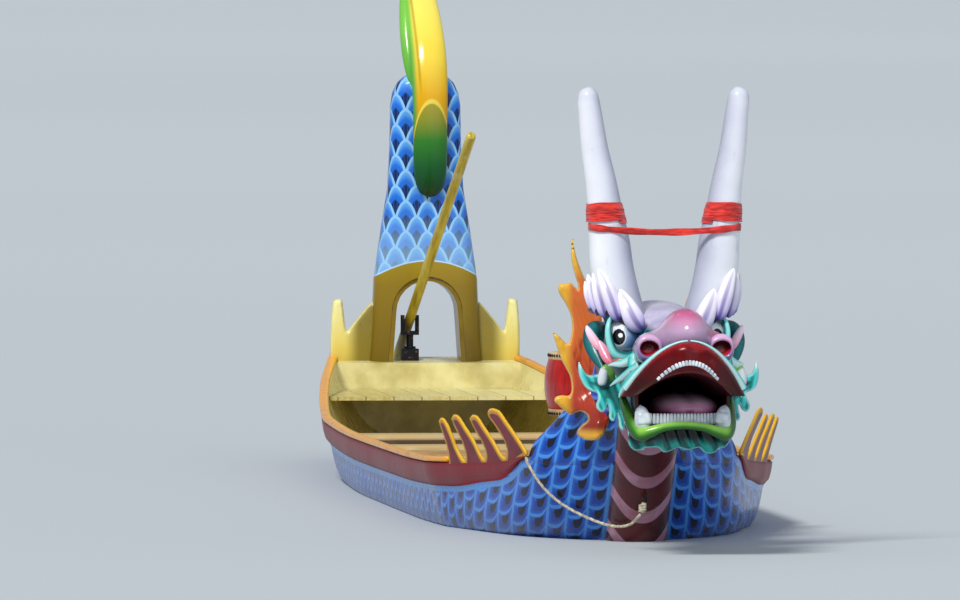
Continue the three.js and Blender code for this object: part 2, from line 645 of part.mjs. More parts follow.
const HORN_ROWS = [
  [-172, -1150, 1020, 88], [-195, -1150, 1100, 93], [-220, -1150, 1180, 95], [-238, -1145, 1270, 97],
  [-242, -1142, 1360, 94], [-254, -1138, 1440, 85], [-262, -1135, 1500, 78], [-282, -1130, 1640, 69],
  [-310, -1120, 1780, 61], [-326, -1110, 1930, 54],
  [-335, -1105, 2010, 47], [-338, -1103, 2045, 31], [-339, -1102, 2060, 9],
];
addPair("horn", limb(HORN_ROWS, 12), "horn");
const EAR_RIDGE = [
  [-300, -1180, 1010, 8], [-300, -1170, 960, 30], [-285, -1200, 900, 34], [-262, -1260, 850, 26],
  [-245, -1330, 820, 8],
];
const EAR_BACK = [[-250, -1000, 960, 60], [-290, -1060, 930, 60], [-300, -1140, 900, 30]];
addPair("ear", join(limb(EAR_RIDGE, 8, 0.5), limb(EAR_BACK, 8, 0.7)), "pink");
const TUSK_ROWS = [
  [-240, -1500, 700, 14], [-262, -1500, 740, 24], [-268, -1480, 790, 26], [-262, -1450, 850, 22],
];
addPair("tusk", limb(TUSK_ROWS, 8), "tooth");
const TUFT_ROWS = [
  [[-200, -1760, 850, 30], [-262, -1720, 860, 30], [-300, -1660, 850, 22], [-330, -1600, 838, 4]],
  [[-205, -1790, 820, 30], [-272, -1750, 800, 28], [-305, -1700, 775, 20], [-322, -1650, 752, 4]],
  [[-215, -1800, 790, 28], [-270, -1780, 760, 24], [-288, -1750, 730, 16], [-294, -1720, 708, 4]],
];
addPair("cheek_tuft", join(...TUFT_ROWS.map((rows) => limb(rows, 8, 0.6))), "aqua");

// Beard: a scalloped frill under the chin and up each side of the jaw.
const BEARD_OUTLINE = [
  [-205, 560], [-215, 520], [-200, 486], [-165, 500], [-130, 484], [-90, 505], [-50, 486], [0, 508],
  [50, 486], [90, 505], [130, 484], [165, 500], [200, 486], [215, 520], [205, 560],
];
add("beard", crossPlate(BEARD_OUTLINE, -1840, 60), "teal");
trim("beard", ["lower_jaw", "lower_lip"]);
const FRILL_ROWS = [
  [-216, -1700, 520, 36], [-236, -1600, 560, 30], [-250, -1500, 600, 40], [-262, -1400, 640, 30],
  [-272, -1300, 690, 42], [-280, -1200, 740, 32], [-286, -1100, 790, 44], [-290, -1030, 850, 20],
];
addPair("jaw_frill", limb(FRILL_ROWS, 8, 0.6), "teal");

// Side fins: a plate that faces forward beside the neck, with four spikes. Rows are x and height.
const FIN = { aft: -320, depth: 34 };
const FIN_OUTLINE = [
  [-315, 1370], [-295, 1265], [-262, 1185], [-196, 1085], [-180, 760], [-196, 485], [-225, 470],
  [-280, 478], [-300, 488], [-288, 530], [-258, 556], [-290, 595], [-325, 575], [-375, 618],
  [-396, 640], [-365, 664], [-326, 664], [-322, 700], [-326, 745], [-362, 815], [-380, 865],
  [-394, 910], [-405, 945], [-368, 922], [-336, 888], [-318, 965], [-326, 1030], [-350, 1078],
  [-380, 1125], [-375, 1166], [-350, 1160], [-322, 1174], [-290, 1128], [-305, 1200], [-322, 1290],
];
addPair("side_fin", crossPlate(FIN_OUTLINE, FIN.aft, FIN.depth), "fin");

for (const side of ["starboard", "port"]) {
  const own = (name) => `${name}_${side}`;
  trim(own("horn"), ["skull"]);
  trim(own("eye"), ["skull", own("horn")]);
  trim(own("lid"), ["skull", own("eye"), own("horn")], 1.5);
  trim(own("brow"), ["skull", own("horn"), own("eye"), own("lid")], 5);
  trim(own("ear"), ["skull", own("eye"), own("lid"), own("brow")], 4);
  trim(own("tusk"), ["skull", "upper_lip", "lower_jaw", "lower_lip", own("ear")]);
  trim(own("cheek_tuft"), ["skull", "upper_lip", "nose", "lower_lip", own("tusk"), own("ear")]);
  trim(own("jaw_frill"), ["skull", "lower_jaw", "lower_lip", "upper_lip", "neck", own("ear"), own("tusk")]);
  trim(own("side_fin"), ["neck", "skull", own("jaw_frill"), own("brow"), own("ear")]);
}

// Cloth on the horns: a wound band on each and the ribbon between them.
function hornAt(z) {
  const i = HORN_ROWS.findIndex((row) => row[2] >= z);
  const share = (z - HORN_ROWS[i - 1][2]) / (HORN_ROWS[i][2] - HORN_ROWS[i - 1][2]);
  return HORN_ROWS[i].map((value, column) => THREE.MathUtils.lerp(HORN_ROWS[i - 1][column], value, share));
}

function hornBand(low, high) {
  const rows = [low, (low + high) / 2, high].map((z) => {
    const [x, aft, height, radius] = hornAt(z);
    return [x, aft, height, radius + HORN_TIE.thick];
  });
  return limb(rows, 12);
}

const RIBBON_ROWS = [
  [-225, -1216, 1430], [-150, -1226, 1418], [-60, -1232, 1410], [60, -1232, 1410], [150, -1226, 1418],
  [225, -1216, 1430],
];
const RIBBON = { halfThick: 4, halfWide: 14 };
const ribbon = loft(RIBBON_ROWS.map(([x, aft, z]) => {
  const corners = [[-1, -1], [1, -1], [1, 1], [-1, 1]];
  return corners.map(([y, up]) => at(x, aft + y * RIBBON.halfThick, z + up * RIBBON.halfWide));
}));
const band = hornBand(1415, 1545);
add("horn_ties", join(band, mirrored(band), ribbon), "cloth");
trim("horn_ties", ["horn_starboard", "horn_port"], 1.5);

// Plume: a leaf that hangs in front of the tail and sweeps up and aft over it, with a narrow leaf beside it.
// Rows are x, aft, height and half-breadth.
const PLUME_ROWS = [
  [0, 9214, 1330, 30], [0, 9204, 1372, 66], [0, 9192, 1480, 84], [0, 9194, 1700, 86], [0, 9212, 1880, 92],
  [-5, 9270, 2040, 97], [-10, 9370, 2190, 90], [-15, 9480, 2330, 74], [-15, 9580, 2470, 50],
  [-10, 9650, 2600, 24], [-5, 9680, 2680, 5],
];
const LEAF_ROWS = [
  [-60, 9252, 1830, 14], [-92, 9280, 1960, 34], [-105, 9350, 2120, 40], [-100, 9450, 2290, 36],
  [-85, 9570, 2440, 24], [-70, 9660, 2560, 5],
];
add("tail_plume", join(limb(PLUME_ROWS, 12, 0.55), limb(LEAF_ROWS, 8, 0.8)), "plume");
trim("tail_plume", ["tail"]);

// Stern fins: a notched plate on each side of the arch.
const STERN_FIN_OUTLINE = [
  [-230, 430], [-230, 800], [-282, 786], [-398, 645], [-414, 740], [-424, 806], [-468, 800], [-480, 690],
  [-482, 560], [-470, 430],
];
const STERN_FIN = { thick: 60, gap: 1.5 };
const sternFinAft = ARCH.aft + ARCH.depth / 2 - STERN_FIN.thick / 2;
addPair("stern_fin", crossPlate(STERN_FIN_OUTLINE, sternFinAft, STERN_FIN.thick), "deck");
for (const side of ["starboard", "port"]) {
  const rails = [`sheer_strake_${side}`, `gunwale_cap_${side}`];
  trim(`stern_fin_${side}`, ["tail", "hull_shell", "tail_arch_lining", ...rails], STERN_FIN.gap);
}

// Steering oar: it lies in a fork that turns in a socket on the transom, and tilts on the fork's pin.
const OAR_AXIS = new THREE.Vector3(-0.0898, 0.8353, -0.5423).normalize();
const oarPivot = at(OAR.pivotX, OAR.pivotAft, OAR.pivotZ);
const oarLevel = new THREE.Vector3(OAR_AXIS.x, OAR_AXIS.y, 0).normalize();
const oarAcross = oarLevel.clone().cross(new THREE.Vector3(0, 0, 1));
const SOCKET = { bottom: 470, foot: 518, top: 556, size: 84, hole: 21, wellLength: 400 };
const FORK = { post: 18, base: 646, top: 726, gap: 31, arm: 12, length: 44, pin: 8 };

const oarGroup = new THREE.Group();
oarGroup.position.copy(oarPivot);
oarGroup.quaternion.setFromRotationMatrix(new THREE.Matrix4().makeBasis(
  oarAcross, OAR_AXIS, oarAcross.clone().cross(OAR_AXIS),
));
boat.add(oarGroup);
const lockGroup = new THREE.Group();
lockGroup.position.copy(oarPivot);
lockGroup.rotation.z = Math.atan2(oarAcross.y, oarAcross.x);
boat.add(lockGroup);

function rod(radius, length, sides = 16) {
  return new THREE.CylinderGeometry(radius, radius, length, sides);
}

function steeringOar() {
  const { inboard, outboard, radius, bladeStart, bladeHalf, bladeThick, tip } = OAR;
  const shaft = rod(radius, inboard + outboard - tip, 12).translate(0, (outboard - tip - inboard) / 2, 0);
  const shoulder = bladeStart + 330;
  const neck = bladeStart + 160;
  const bladeShape = new THREE.Shape();
  bladeShape.moveTo(-radius * 0.6, bladeStart);
  bladeShape.quadraticCurveTo(-bladeHalf, neck, -bladeHalf, shoulder);
  bladeShape.lineTo(-bladeHalf * 0.94, outboard - tip / 2);
  bladeShape.lineTo(-bladeHalf * 0.7, outboard);
  bladeShape.lineTo(bladeHalf * 0.7, outboard);
  bladeShape.lineTo(bladeHalf * 0.94, outboard - tip / 2);
  bladeShape.lineTo(bladeHalf, shoulder);
  bladeShape.quadraticCurveTo(bladeHalf, neck, radius * 0.6, bladeStart);
  const settings = { depth: bladeThick, bevelEnabled: false, curveSegments: 5 };
  const blade = new THREE.ExtrudeGeometry(bladeShape, settings);
  blade.translate(0, 0, -bladeThick / 2).rotateY(Math.PI / 2);
  const pin = rod(FORK.pin, 2 * (FORK.gap + FORK.arm)).rotateZ(Math.PI / 2);
  return join(shaft, blade, pin);
}

add("steering_oar", steeringOar(), "oar", oarGroup);

function oarLock() {
  const z = (height) => height - OAR.pivotZ;
  const post = rod(FORK.post, FORK.base - SOCKET.foot).rotateX(Math.PI / 2);
  post.translate(0, 0, (z(FORK.base) + z(SOCKET.foot)) / 2);
  const width = 2 * (FORK.gap + FORK.arm);
  const base = new THREE.BoxGeometry(width, FORK.length, 20).translate(0, 0, z(FORK.base) - 10);
  const collar = rod(30, 10).rotateX(Math.PI / 2).translate(0, 0, z(SOCKET.top) + 7);
  const arms = [-1, 1].map((side) => {
    const arm = new THREE.BoxGeometry(FORK.arm, FORK.length, FORK.top - FORK.base + 10);
    return arm.translate(side * (FORK.gap + FORK.arm / 2), 0, (z(FORK.top) + z(FORK.base) - 10) / 2);
  });
  const hole = rod(FORK.pin + 1, width + 20).rotateZ(Math.PI / 2);
  return cut(join(post, base, collar, ...arms), hole);
}

add("oar_lock", oarLock(), "iron", lockGroup);
const socketHeight = SOCKET.top - SOCKET.bottom;
const socketZ = (SOCKET.top + SOCKET.bottom) / 2;
const socket = box(OAR.pivotX, OAR.pivotAft, socketZ, SOCKET.size, SOCKET.size, socketHeight);
const well = rod(SOCKET.hole, SOCKET.wellLength).rotateX(Math.PI / 2);
well.translate(OAR.pivotX, BOW_Y + OAR.pivotAft, SOCKET.foot - 4 + SOCKET.wellLength / 2);
add("oar_socket", cut(socket, well), "iron");
trim("oar_socket", ["hull_shell", "tail", "tail_arch_lining"]);

// Bow gear: an eye on the belly strip, and a rope that hangs to it from the starboard prong plate's root.
const ROPE_RADIUS = 6;
const EYE = { aft: -412, z: 205, radius: 17, wire: 5 };
const eyeRing = new THREE.TorusGeometry(EYE.radius, EYE.wire, 8, 16).rotateY(Math.PI / 2);
add("bow_eye", eyeRing.translate(0, BOW_Y + EYE.aft, EYE.z), "iron");
trim("bow_eye", ["belly_strip"]);

const ROPE_ROUTE = [
  [-492, 22, 372], [-478, -10, 330], [-420, -34, 240], [-330, -60, 160], [-206, -130, 96], [-120, -240, 72],
  [-60, -330, 84], [-22, -392, 130],
];

function tube(route, radius, steps, sides = 8) {
  const path = new THREE.CatmullRomCurve3(route.map(([x, aft, z]) => at(x, aft, z)));
  const corners = Array.from({ length: sides }, (_, i) => {
    const angle = (2 * Math.PI * i) / sides;
    return new THREE.Vector2(radius * Math.cos(angle), radius * Math.sin(angle));
  });
  const settings = { steps, extrudePath: path, bevelEnabled: false };
  return new THREE.ExtrudeGeometry(new THREE.Shape(corners), settings);
}

add("bow_rope", tube(ROPE_ROUTE, ROPE_RADIUS, 40), "rope");
add("rope_knot", ball(-14, -418, 160, 44, 40, 56, 12), "rope");
trim("rope_knot", ["belly_strip", "bow_eye"]);
const starboardRails = ["prong_plate_starboard", "sheer_strake_starboard"];
trim("bow_rope", ["rope_knot", "hull_shell", "belly_strip", "neck", ...starboardRails]);

// The hull is made in three lengths that are bolted together, as long boats of this kind often are. Each row has
// the length's name and where it begins and ends.
const HULL_LENGTHS = [["hull_bow", -400, 1700], ["hull_middle", 1700, 7600], ["hull_stern", 7600, 9500]];
const JOINT_GAP = 0.3;
const wholeHull = pieces.get("hull_shell");
boat.remove(wholeHull);
for (const [name, first, last] of HULL_LENGTHS) {
  const block = box(0, (first + last) / 2, 100, 1800, last - first - JOINT_GAP, 1000);
  add(name, geometryOf(solidOf(wholeHull.geometry).intersect(solidOf(block))), "scales");
}

export default boat;
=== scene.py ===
# %% [markdown]
# # Dressing a dragon boat
# The boat is already built as a plain solid model with its joints. This lesson puts the real surfaces on
# it: a smooth painted hull with its scales, a carved and lacquered dragon head, horns tied with red cloth,
# a drum, a tail with its plume, and the wooden inside. Everything is in metres: x to port, y aft, z up
# from the water.

# %% Load the solid model
import math

import bmesh
import bpy
import numpy as np
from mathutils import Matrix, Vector
from mathutils.geometry import delaunay_2d_cdt


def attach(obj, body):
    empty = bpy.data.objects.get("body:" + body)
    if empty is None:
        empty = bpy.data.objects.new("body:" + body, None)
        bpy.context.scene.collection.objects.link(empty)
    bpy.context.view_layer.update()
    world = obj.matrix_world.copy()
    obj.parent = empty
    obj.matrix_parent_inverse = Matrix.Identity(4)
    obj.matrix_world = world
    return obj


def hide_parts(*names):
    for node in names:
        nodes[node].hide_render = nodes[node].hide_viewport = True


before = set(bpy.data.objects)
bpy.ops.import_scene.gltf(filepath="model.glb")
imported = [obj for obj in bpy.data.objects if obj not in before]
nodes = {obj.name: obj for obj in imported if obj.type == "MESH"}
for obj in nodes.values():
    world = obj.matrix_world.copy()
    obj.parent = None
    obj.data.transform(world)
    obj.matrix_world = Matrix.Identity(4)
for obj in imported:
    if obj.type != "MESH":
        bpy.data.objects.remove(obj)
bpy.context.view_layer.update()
print("solid model:", len(nodes), "nodes")

# %% [markdown]
# ## The camera
# The boat was seen through a very long lens from ahead and a little to one side, so lines that run along
# the boat hardly converge. A long lens far away gives the same flat perspective. A short lens close by
# would swell the head and shrink the tail.

# %% Camera
LENS_MM = 641.25
SENSOR_MM = 36.0
CAMERA_PLACE = (-8.743, -80.503, 3.4)
CAMERA_TURN = (math.radians(88.275), 0.0, math.radians(-6.0))
camera_data = bpy.data.cameras.new("camera")
camera_data.lens = LENS_MM
camera_data.sensor_width = SENSOR_MM
camera_data.clip_end = 2000.0
camera = bpy.data.objects.new("camera", camera_data)
camera.location = CAMERA_PLACE
camera.rotation_euler = CAMERA_TURN
bpy.context.scene.collection.objects.link(camera)
bpy.context.scene.camera = camera

# %% [markdown]
# ## Surfaces from numbers
# Each new piece is a grid of points, worked out with arrays: a profile carried along a path, or a height
# over a flat outline. Typing a few rows and drawing a smooth curve through them is easier to
# change than moving vertices about.

# %% Helpers for places and curves
BOW_Y = -4.0
# The smallest radius at a limb's end, and the smallest length that a vector is divided by.
THINNEST_LIMB, TINY = 0.0005, 1e-9


def to_frame(rows):
    """Places given as x, distance aft of the bow's waterline, and z, turned into x, y, z."""
    return np.asarray(rows, float)[..., :3] + np.array([0.0, BOW_Y, 0.0])


def smooth(rows, count, closed=False):
    """Rows of numbers resampled along a Catmull-Rom curve, which passes through every row."""
    rows = np.asarray(rows, float)
    last = len(rows) if closed else len(rows) - 1
    place = np.linspace(0, last, count, endpoint=not closed)
    start = np.minimum(place.astype(int), last - 1)
    f = (place - start).reshape(-1, *[1] * (rows.ndim - 1))
    picks = [start + k for k in (-1, 0, 1, 2)]
    picks = [p % len(rows) if closed else np.clip(p, 0, last) for p in picks]
    a, b, c, d = (rows[p] for p in picks)
    return 0.5 * (2 * b + (c - a) * f + (2 * a - 5 * b + 4 * c - d) * f**2 + (3 * b - a - 3 * c + d) * f**3)


def blunt_wave(wave, power):
    """A cosine or sine raised to a power with its sign kept: below 1 it squares an oval's corners."""
    return np.sign(wave) * np.abs(wave) ** power


def full_turn(sides):
    """One row of angles all the way round."""
    return np.linspace(0, 2 * np.pi, sides, endpoint=False)[None]


def unit(vectors):
    """Vectors divided by their lengths."""
    return vectors / np.maximum(np.linalg.norm(vectors, axis=-1, keepdims=True), TINY)


def run_along(points):
    """The length run so far at each point of a path."""
    steps = np.linalg.norm(np.diff(points, axis=-2), axis=-1)
    return np.concatenate([np.zeros_like(steps[..., :1]), np.cumsum(steps, axis=-1)], axis=-1)


def mirrored(points):
    """The same points on the other side of the boat, in an order that keeps faces pointing outwards."""
    return (points * np.array([-1.0, 1.0, 1.0]))[:, ::-1]


# %% Helpers that make meshes
def mesh_piece(name, verts, faces, uv=None, values=None, sharp=None):
    """An object from points and faces. uv has one row a face corner; values are named numbers a point.
    Where the faces enclose a negative volume they are turned round, so that they point outwards."""
    triangles = np.array([(f[0], f[i], f[i + 1]) for f in faces for i in range(1, len(f) - 1)])
    a, b, c = (verts[triangles[:, i]] for i in range(3))
    middle = verts.mean(axis=0)
    inside_out = np.einsum("ij,ij->i", a - middle, np.cross(b - middle, c - middle)).sum() < 0
    if inside_out:
        faces = [f[::-1] for f in faces]
        if uv is not None:
            ends = np.cumsum([len(f) for f in faces])
            starts = ends - [len(f) for f in faces]
            order = np.concatenate([np.arange(e - 1, s - 1, -1) for s, e in zip(starts, ends)])
            uv = uv[order]
    mesh = bpy.data.meshes.new(name)
    mesh.from_pydata(verts.tolist(), [], faces)
    if uv is not None:
        mesh.uv_layers.new(name="UVMap").data.foreach_set("uv", uv.ravel())
    for key, numbers in (values or {}).items():
        mesh.attributes.new(key, "FLOAT", "POINT").data.foreach_set("value", np.asarray(numbers, float))
    mesh.shade_smooth()
    if sharp is not None:
        mesh.set_sharp_from_angle(angle=math.radians(sharp))
    mesh.validate()
    piece = bpy.data.objects.new(name, mesh)
    bpy.context.scene.collection.objects.link(piece)
    return piece


def grid_parts(points, capped=True, uv=None):
    """Points, faces and uv of a grid of closed rings; capped closes each end with a fan to the ring's middle.
    Without a uv of its own, u runs along the rings and v around them."""
    rings, sides = points.shape[:2]
    r, s = (m.ravel() for m in np.meshgrid(np.arange(rings - 1), np.arange(sides), indexing="ij"))
    corner_r = np.stack([r, r, r + 1, r + 1], 1)
    corner_s = np.stack([s, s + 1, s + 1, s], 1)
    if uv is None:
        uv = np.stack(np.meshgrid(np.linspace(0, 1, rings), np.linspace(0, 1, sides + 1), indexing="ij"), -1)
    faces = (corner_r * sides + corner_s % sides).tolist()
    corners = [uv[corner_r, corner_s].reshape(-1, 2)]
    verts = [points.reshape(-1, 3)]
    if capped:
        side = np.arange(sides)
        for hub, ring in ((rings * sides, 0), (rings * sides + 1, rings - 1)):
            verts.append(points[ring].mean(axis=0)[None])
            fan = np.stack([np.full(sides, hub), ring * sides + side, ring * sides + (side + 1) % sides], 1)
            faces += (fan[:, ::-1] if ring == 0 else fan).tolist()
            corners.append(np.repeat(uv[ring, :1], 3 * sides, axis=0))
    return np.concatenate(verts), faces, np.concatenate(corners)


def joined(parts):
    """Several lots of points, faces and uv as one lot, for a piece made of many like parts."""
    verts, faces, corners, base = [], [], [], 0
    for points, part_faces, uv in parts:
        verts.append(points)
        faces += [[i + base for i in f] for f in part_faces]
        corners.append(uv)
        base += len(points)
    return np.concatenate(verts), faces, np.concatenate(corners)


def limb_points(rows, rings=36, sides=20, flat=1.0, face=(0, -1, 0)):
    """Rings of a limb: an ellipse carried along a smooth path. Rows are x, aft, z and radius. The ellipse is
    narrowed by flat in the direction of face."""
    path = smooth(rows, rings)
    centres = to_frame(path)
    along = unit(np.gradient(centres, axis=0))
    across = np.asarray(face, float)
    across = unit(across - along * (along @ across)[:, None])
    other = np.cross(along, across)
    radius = np.maximum(path[:, 3], THINNEST_LIMB)
    turn = full_turn(sides)[..., None]
    ring = across[:, None] * np.cos(turn) * flat + other[:, None] * np.sin(turn)
    return centres[:, None] + ring * radius[:, None, None]


def pair(parts, stem, values=None):
    """A starboard piece and its mirror image to port, from the points, faces and uv of one side."""
    verts, faces, uv = parts
    sides = (("starboard", 1.0), ("port", -1.0))
    return [mesh_piece(f"{stem}_{name}", verts * [side, 1.0, 1.0], faces, uv, values) for name, side in sides]


def limb_pair(stem, rows, rings, sides, flat=1.0):
    """A limb on each side of the boat."""
    return pair(grid_parts(limb_points(rows, rings, sides, flat)), stem)


# %% Helper for plates with rounded edges
def outline_distance(points, outline):
    """The distance from each point to the nearest stretch of a closed outline."""
    a, b = outline, np.roll(outline, -1, axis=0)
    run = b - a
    offset = points[:, None] - a[None]
    share = np.clip((offset * run).sum(-1) / np.maximum((run * run).sum(-1), 1e-12), 0, 1)
    return np.linalg.norm(offset - share[..., None] * run, axis=-1).min(axis=1)


def inside_outline(points, outline):
    """True where a ray to the right from the point crosses the closed outline an odd number of times."""
    a, b = outline, np.roll(outline, -1, axis=0)
    x, y = points[:, :1], points[:, 1:]
    straddles = (a[None, :, 1] > y) != (b[None, :, 1] > y)
    slope = (b[:, 0] - a[:, 0]) / np.where(b[:, 1] == a[:, 1], 1e-12, b[:, 1] - a[:, 1])
    crossing = a[None, :, 0] + (y - a[None, :, 1]) * slope
    return (straddles & (x < crossing)).sum(axis=1) % 2 == 1


def plate_parts(outline, thick, edge, spacing=0.008, relief=None):
    """A flat board cut to an outline, as points (a, b, c) with c the thickness. The half-thickness grows from
    nothing at the outline to full at a distance of edge, as a quarter circle; relief adds to it inside."""
    low, high = outline.min(axis=0), outline.max(axis=0)
    a, b = np.meshgrid(*(np.arange(start, end, spacing) for start, end in zip(low, high)), indexing="ij")
    a = a + (np.arange(a.shape[1]) % 2) * spacing / 2
    fill = np.stack([a.ravel(), b.ravel()], 1)
    fill = fill[inside_outline(fill, outline)]
    fill = fill[outline_distance(fill, outline) > spacing * 0.45]
    flat = [Vector(p) for p in np.concatenate([outline, fill]).tolist()]
    rim = list(range(len(outline)))
    edges = [(i, (i + 1) % len(rim)) for i in rim]
    points, _, faces, *_ = delaunay_2d_cdt(flat, edges, [rim], 1, 1e-6)
    points = np.array([tuple(p) for p in points])
    near = outline_distance(points, outline)
    share = np.clip(near / edge, 0, 1)
    half = thick / 2 * np.sqrt(1 - (1 - share) ** 2)
    if relief is not None:
        half = half + relief(points[:, 0], points[:, 1], near) * (near > 1e-5)
    on_rim = near < 1e-5
    front = np.column_stack([points, half])
    back_index = np.where(on_rim, np.arange(len(points)), len(points) + np.cumsum(~on_rim) - 1)
    verts = np.concatenate([front, np.column_stack([points, -half])[~on_rim]])
    back_faces = [[int(back_index[i]) for i in reversed(f)] for f in faces]
    return verts, [list(f) for f in faces] + back_faces, np.concatenate([near, near[~on_rim]])


def rounded(corners, count):
    """A smooth closed outline through given corners."""
    return smooth(corners, count, closed=True)


def across_boat(flat, aft, bow=0.0):
    """Places (x, z, through) on a board that faces ahead, bent back at its sides by bow times x squared."""
    return to_frame(np.stack([flat[:, 0], aft - flat[:, 2] + bow * flat[:, 0] ** 2, flat[:, 1]], 1))


def upright_pair(stem, flat, faces, near, aft):
    """A board across the boat on each side, its u and v the x and z, with the distance to its outline."""
    return pair((across_boat(flat, aft), faces, flat[np.concatenate(faces)][:, :2]), stem, {"near": near})


print("helpers ready")

# %% [markdown]
# ## Shader arithmetic
# A painted pattern is arithmetic on places: how far along, how far round, how close to an edge. Written
# with plain plus and minus signs it stays readable, so a small class gives a shader socket those signs.

# %% The shader class
NOISE_ROUGHNESS = 0.55
NUMBER_SIGNS = {"add": "ADD", "sub": "SUBTRACT", "mul": "MULTIPLY", "truediv": "DIVIDE", "pow": "POWER"}
PLAIN_STEPS = {
    "floor": "FLOOR", "fract": "FRACT", "abs": "ABSOLUTE", "sqrt": "SQRT", "sin": "SINE", "least": "MINIMUM",
    "most": "MAXIMUM",
}


class Wire:
    """An output socket of a material, for use in arithmetic. Each sign adds one Math node."""

    def __init__(self, paint, socket):
        self.paint, self.socket = paint, socket

    def math(self, operation, *others, flip=False):
        values = (*others, self) if flip else (self, *others)
        return self.paint.node("ShaderNodeMath", {"operation": operation}, *values)

    def wave(self):
        """The sine, brought to the range from 0 to 1."""
        return self.sin() * 0.5 + 0.5

    def step(self, low, high):
        """0 below low, 1 above high and a smooth rise between. Low above high gives the fall."""
        sockets = {"From Min": low, "From Max": high}
        return self.paint.node("ShaderNodeMapRange", {"interpolation_type": "SMOOTHSTEP"}, self, **sockets)


def method(operation, flip=False):
    """A method of Wire that adds the Math node of this operation."""
    return lambda self, *others: self.math(operation, *others, flip=flip)


for name, operation in NUMBER_SIGNS.items():
    setattr(Wire, f"__{name}__", method(operation))
    setattr(Wire, f"__r{name}__", method(operation, flip=True))
for name, operation in PLAIN_STEPS.items():
    setattr(Wire, name, method(operation))


class Paint:
    """One material: a Principled shader and the nodes that feed it."""

    def __init__(self, name, **shader):
        self.material = bpy.data.materials.new(name)
        self.material.use_nodes = True
        self.tree = self.material.node_tree
        self.tree.nodes.clear()
        self.output = self.tree.nodes.new("ShaderNodeOutputMaterial")
        self.shader = self.tree.nodes.new("ShaderNodeBsdfPrincipled")
        self.tree.links.new(self.shader.outputs[0], self.output.inputs[0])
        self.set(**shader)

    def connect(self, socket, value):
        """Links a wire to a socket, or sets a plain value; a colour may be its hexadecimal code."""
        value = rgb(value)
        if isinstance(value, Wire):
            self.tree.links.new(value.socket, socket)
        elif value is not None:
            plain = socket.type not in ("RGBA", "VECTOR")
            socket.default_value = value if plain else (*value, 1.0)[: len(socket.default_value)]

    def set(self, **sockets):
        """Plain values or wires on the shader's sockets, with _ for a space in a socket's name."""
        for key, value in sockets.items():
            self.connect(self.shader.inputs[key.replace("_", " ")], value)

    def node(self, kind, settings, *values, out=0, **named):
        """Any other node: its type, its settings first, then the values or links of its sockets."""
        node = self.tree.nodes.new(kind)
        for key, value in settings.items():
            if key == "stops":
                self.fill_ramp(node.color_ramp, value)
            else:
                setattr(node, key, value)
        for socket, value in zip(node.inputs, values):
            self.connect(socket, value)
        for key, value in named.items():
            self.connect(node.inputs[key], value)
        return Wire(self, node.outputs[out])

    @staticmethod
    def fill_ramp(ramp, stops):
        while len(ramp.elements) < len(stops):
            ramp.elements.new(1.0)
        for element, (place, colour) in zip(ramp.elements, stops):
            element.position = place
            element.color = (*rgb(colour), 1.0)

    def split(self, vector):
        node = self.node("ShaderNodeSeparateXYZ", {}, vector).socket.node
        return [Wire(self, socket) for socket in node.outputs]

    def place(self):
        """x, y and z on the object, in metres."""
        return self.split(self.node("ShaderNodeTexCoord", {}, out=3))

    def uv(self):
        """The piece's own u and v."""
        return self.split(self.node("ShaderNodeTexCoord", {}, out=2))[:2]

    def value(self, name):
        """A named number that the mesh carries at each point."""
        return self.node("ShaderNodeAttribute", {"attribute_name": name}, out=2)

    def noise(self, scale, detail=3.0, stretch=(1, 1, 1)):
        """Soft noise from 0 to 1. Stretch pulls it out along an axis where it is below 1."""
        place = self.node("ShaderNodeTexCoord", {}, out=3)
        place = self.node("ShaderNodeVectorMath", {"operation": "MULTIPLY"}, place, stretch)
        sockets = {"Vector": place, "Scale": scale, "Detail": detail, "Roughness": NOISE_ROUGHNESS}
        return self.node("ShaderNodeTexNoise", {}, **sockets)

    def mix(self, factor, a, b):
        """Colour a where the factor is 0 and colour b where it is 1."""
        node = self.tree.nodes.new("ShaderNodeMix")
        node.data_type = "RGBA"
        for index, value in ((0, factor), (6, a), (7, b)):
            self.connect(node.inputs[index], value)
        return Wire(self, node.outputs[2])

    def ramp(self, value, *stops):
        return self.node("ShaderNodeValToRGB", {"stops": stops}, value)

    def bump(self, height, distance, strength=1.0, under=None):
        sockets = {"Height": height, "Distance": distance, "Strength": strength}
        if under is not None:
            sockets["Normal"] = under
        return self.node("ShaderNodeBump", {}, **sockets)


def rgb(code):
    """A hexadecimal colour as linear red, green and blue. What isn't a code comes back as it is."""
    if not isinstance(code, str):
        return code
    parts = np.array([int(code[i:i + 2], 16) for i in (0, 2, 4)]) / 255
    return tuple(np.where(parts <= 0.04045, parts / 12.92, ((parts + 0.055) / 1.055) ** 2.4).tolist())


# %% [markdown]
# ## Painted wood
# Nearly everything here is carved wood or glass fibre under gloss paint. The real paint is brushed on by
# hand: the colour is a little uneven, the surface has faint brush marks, dirt gathers unevenly, and the
# shine varies. One function finishes any colour in that way, so the pieces belong together.

# %% Gloss paint
def gloss_paint(paint, colour, roughness=0.3, brush=0.0006, uneven=0.25, coat=0.15, under=None, shine=0.3):
    """Finishes a material as hand-brushed gloss paint over the colour, which may be plain or a wire."""
    cloud = paint.noise(3.1, detail=4.0)
    fleck = paint.noise(46.0, detail=2.0, stretch=(1, 1, 0.25))
    shade = paint.node("ShaderNodeHueSaturation", {}, Color=colour, Value=1 + uneven * (cloud - 0.5))
    marks = paint.bump(fleck + 0.35 * paint.noise(150.0, detail=1.0), brush, under=under)
    paint.set(
        Base_Color=shade, Roughness=roughness + 0.16 * (cloud - 0.5) + 0.1 * (fleck - 0.5),
        Coat_Weight=coat, Coat_Roughness=0.12, Normal=marks, Specular_IOR_Level=shine,
    )
    return paint.material


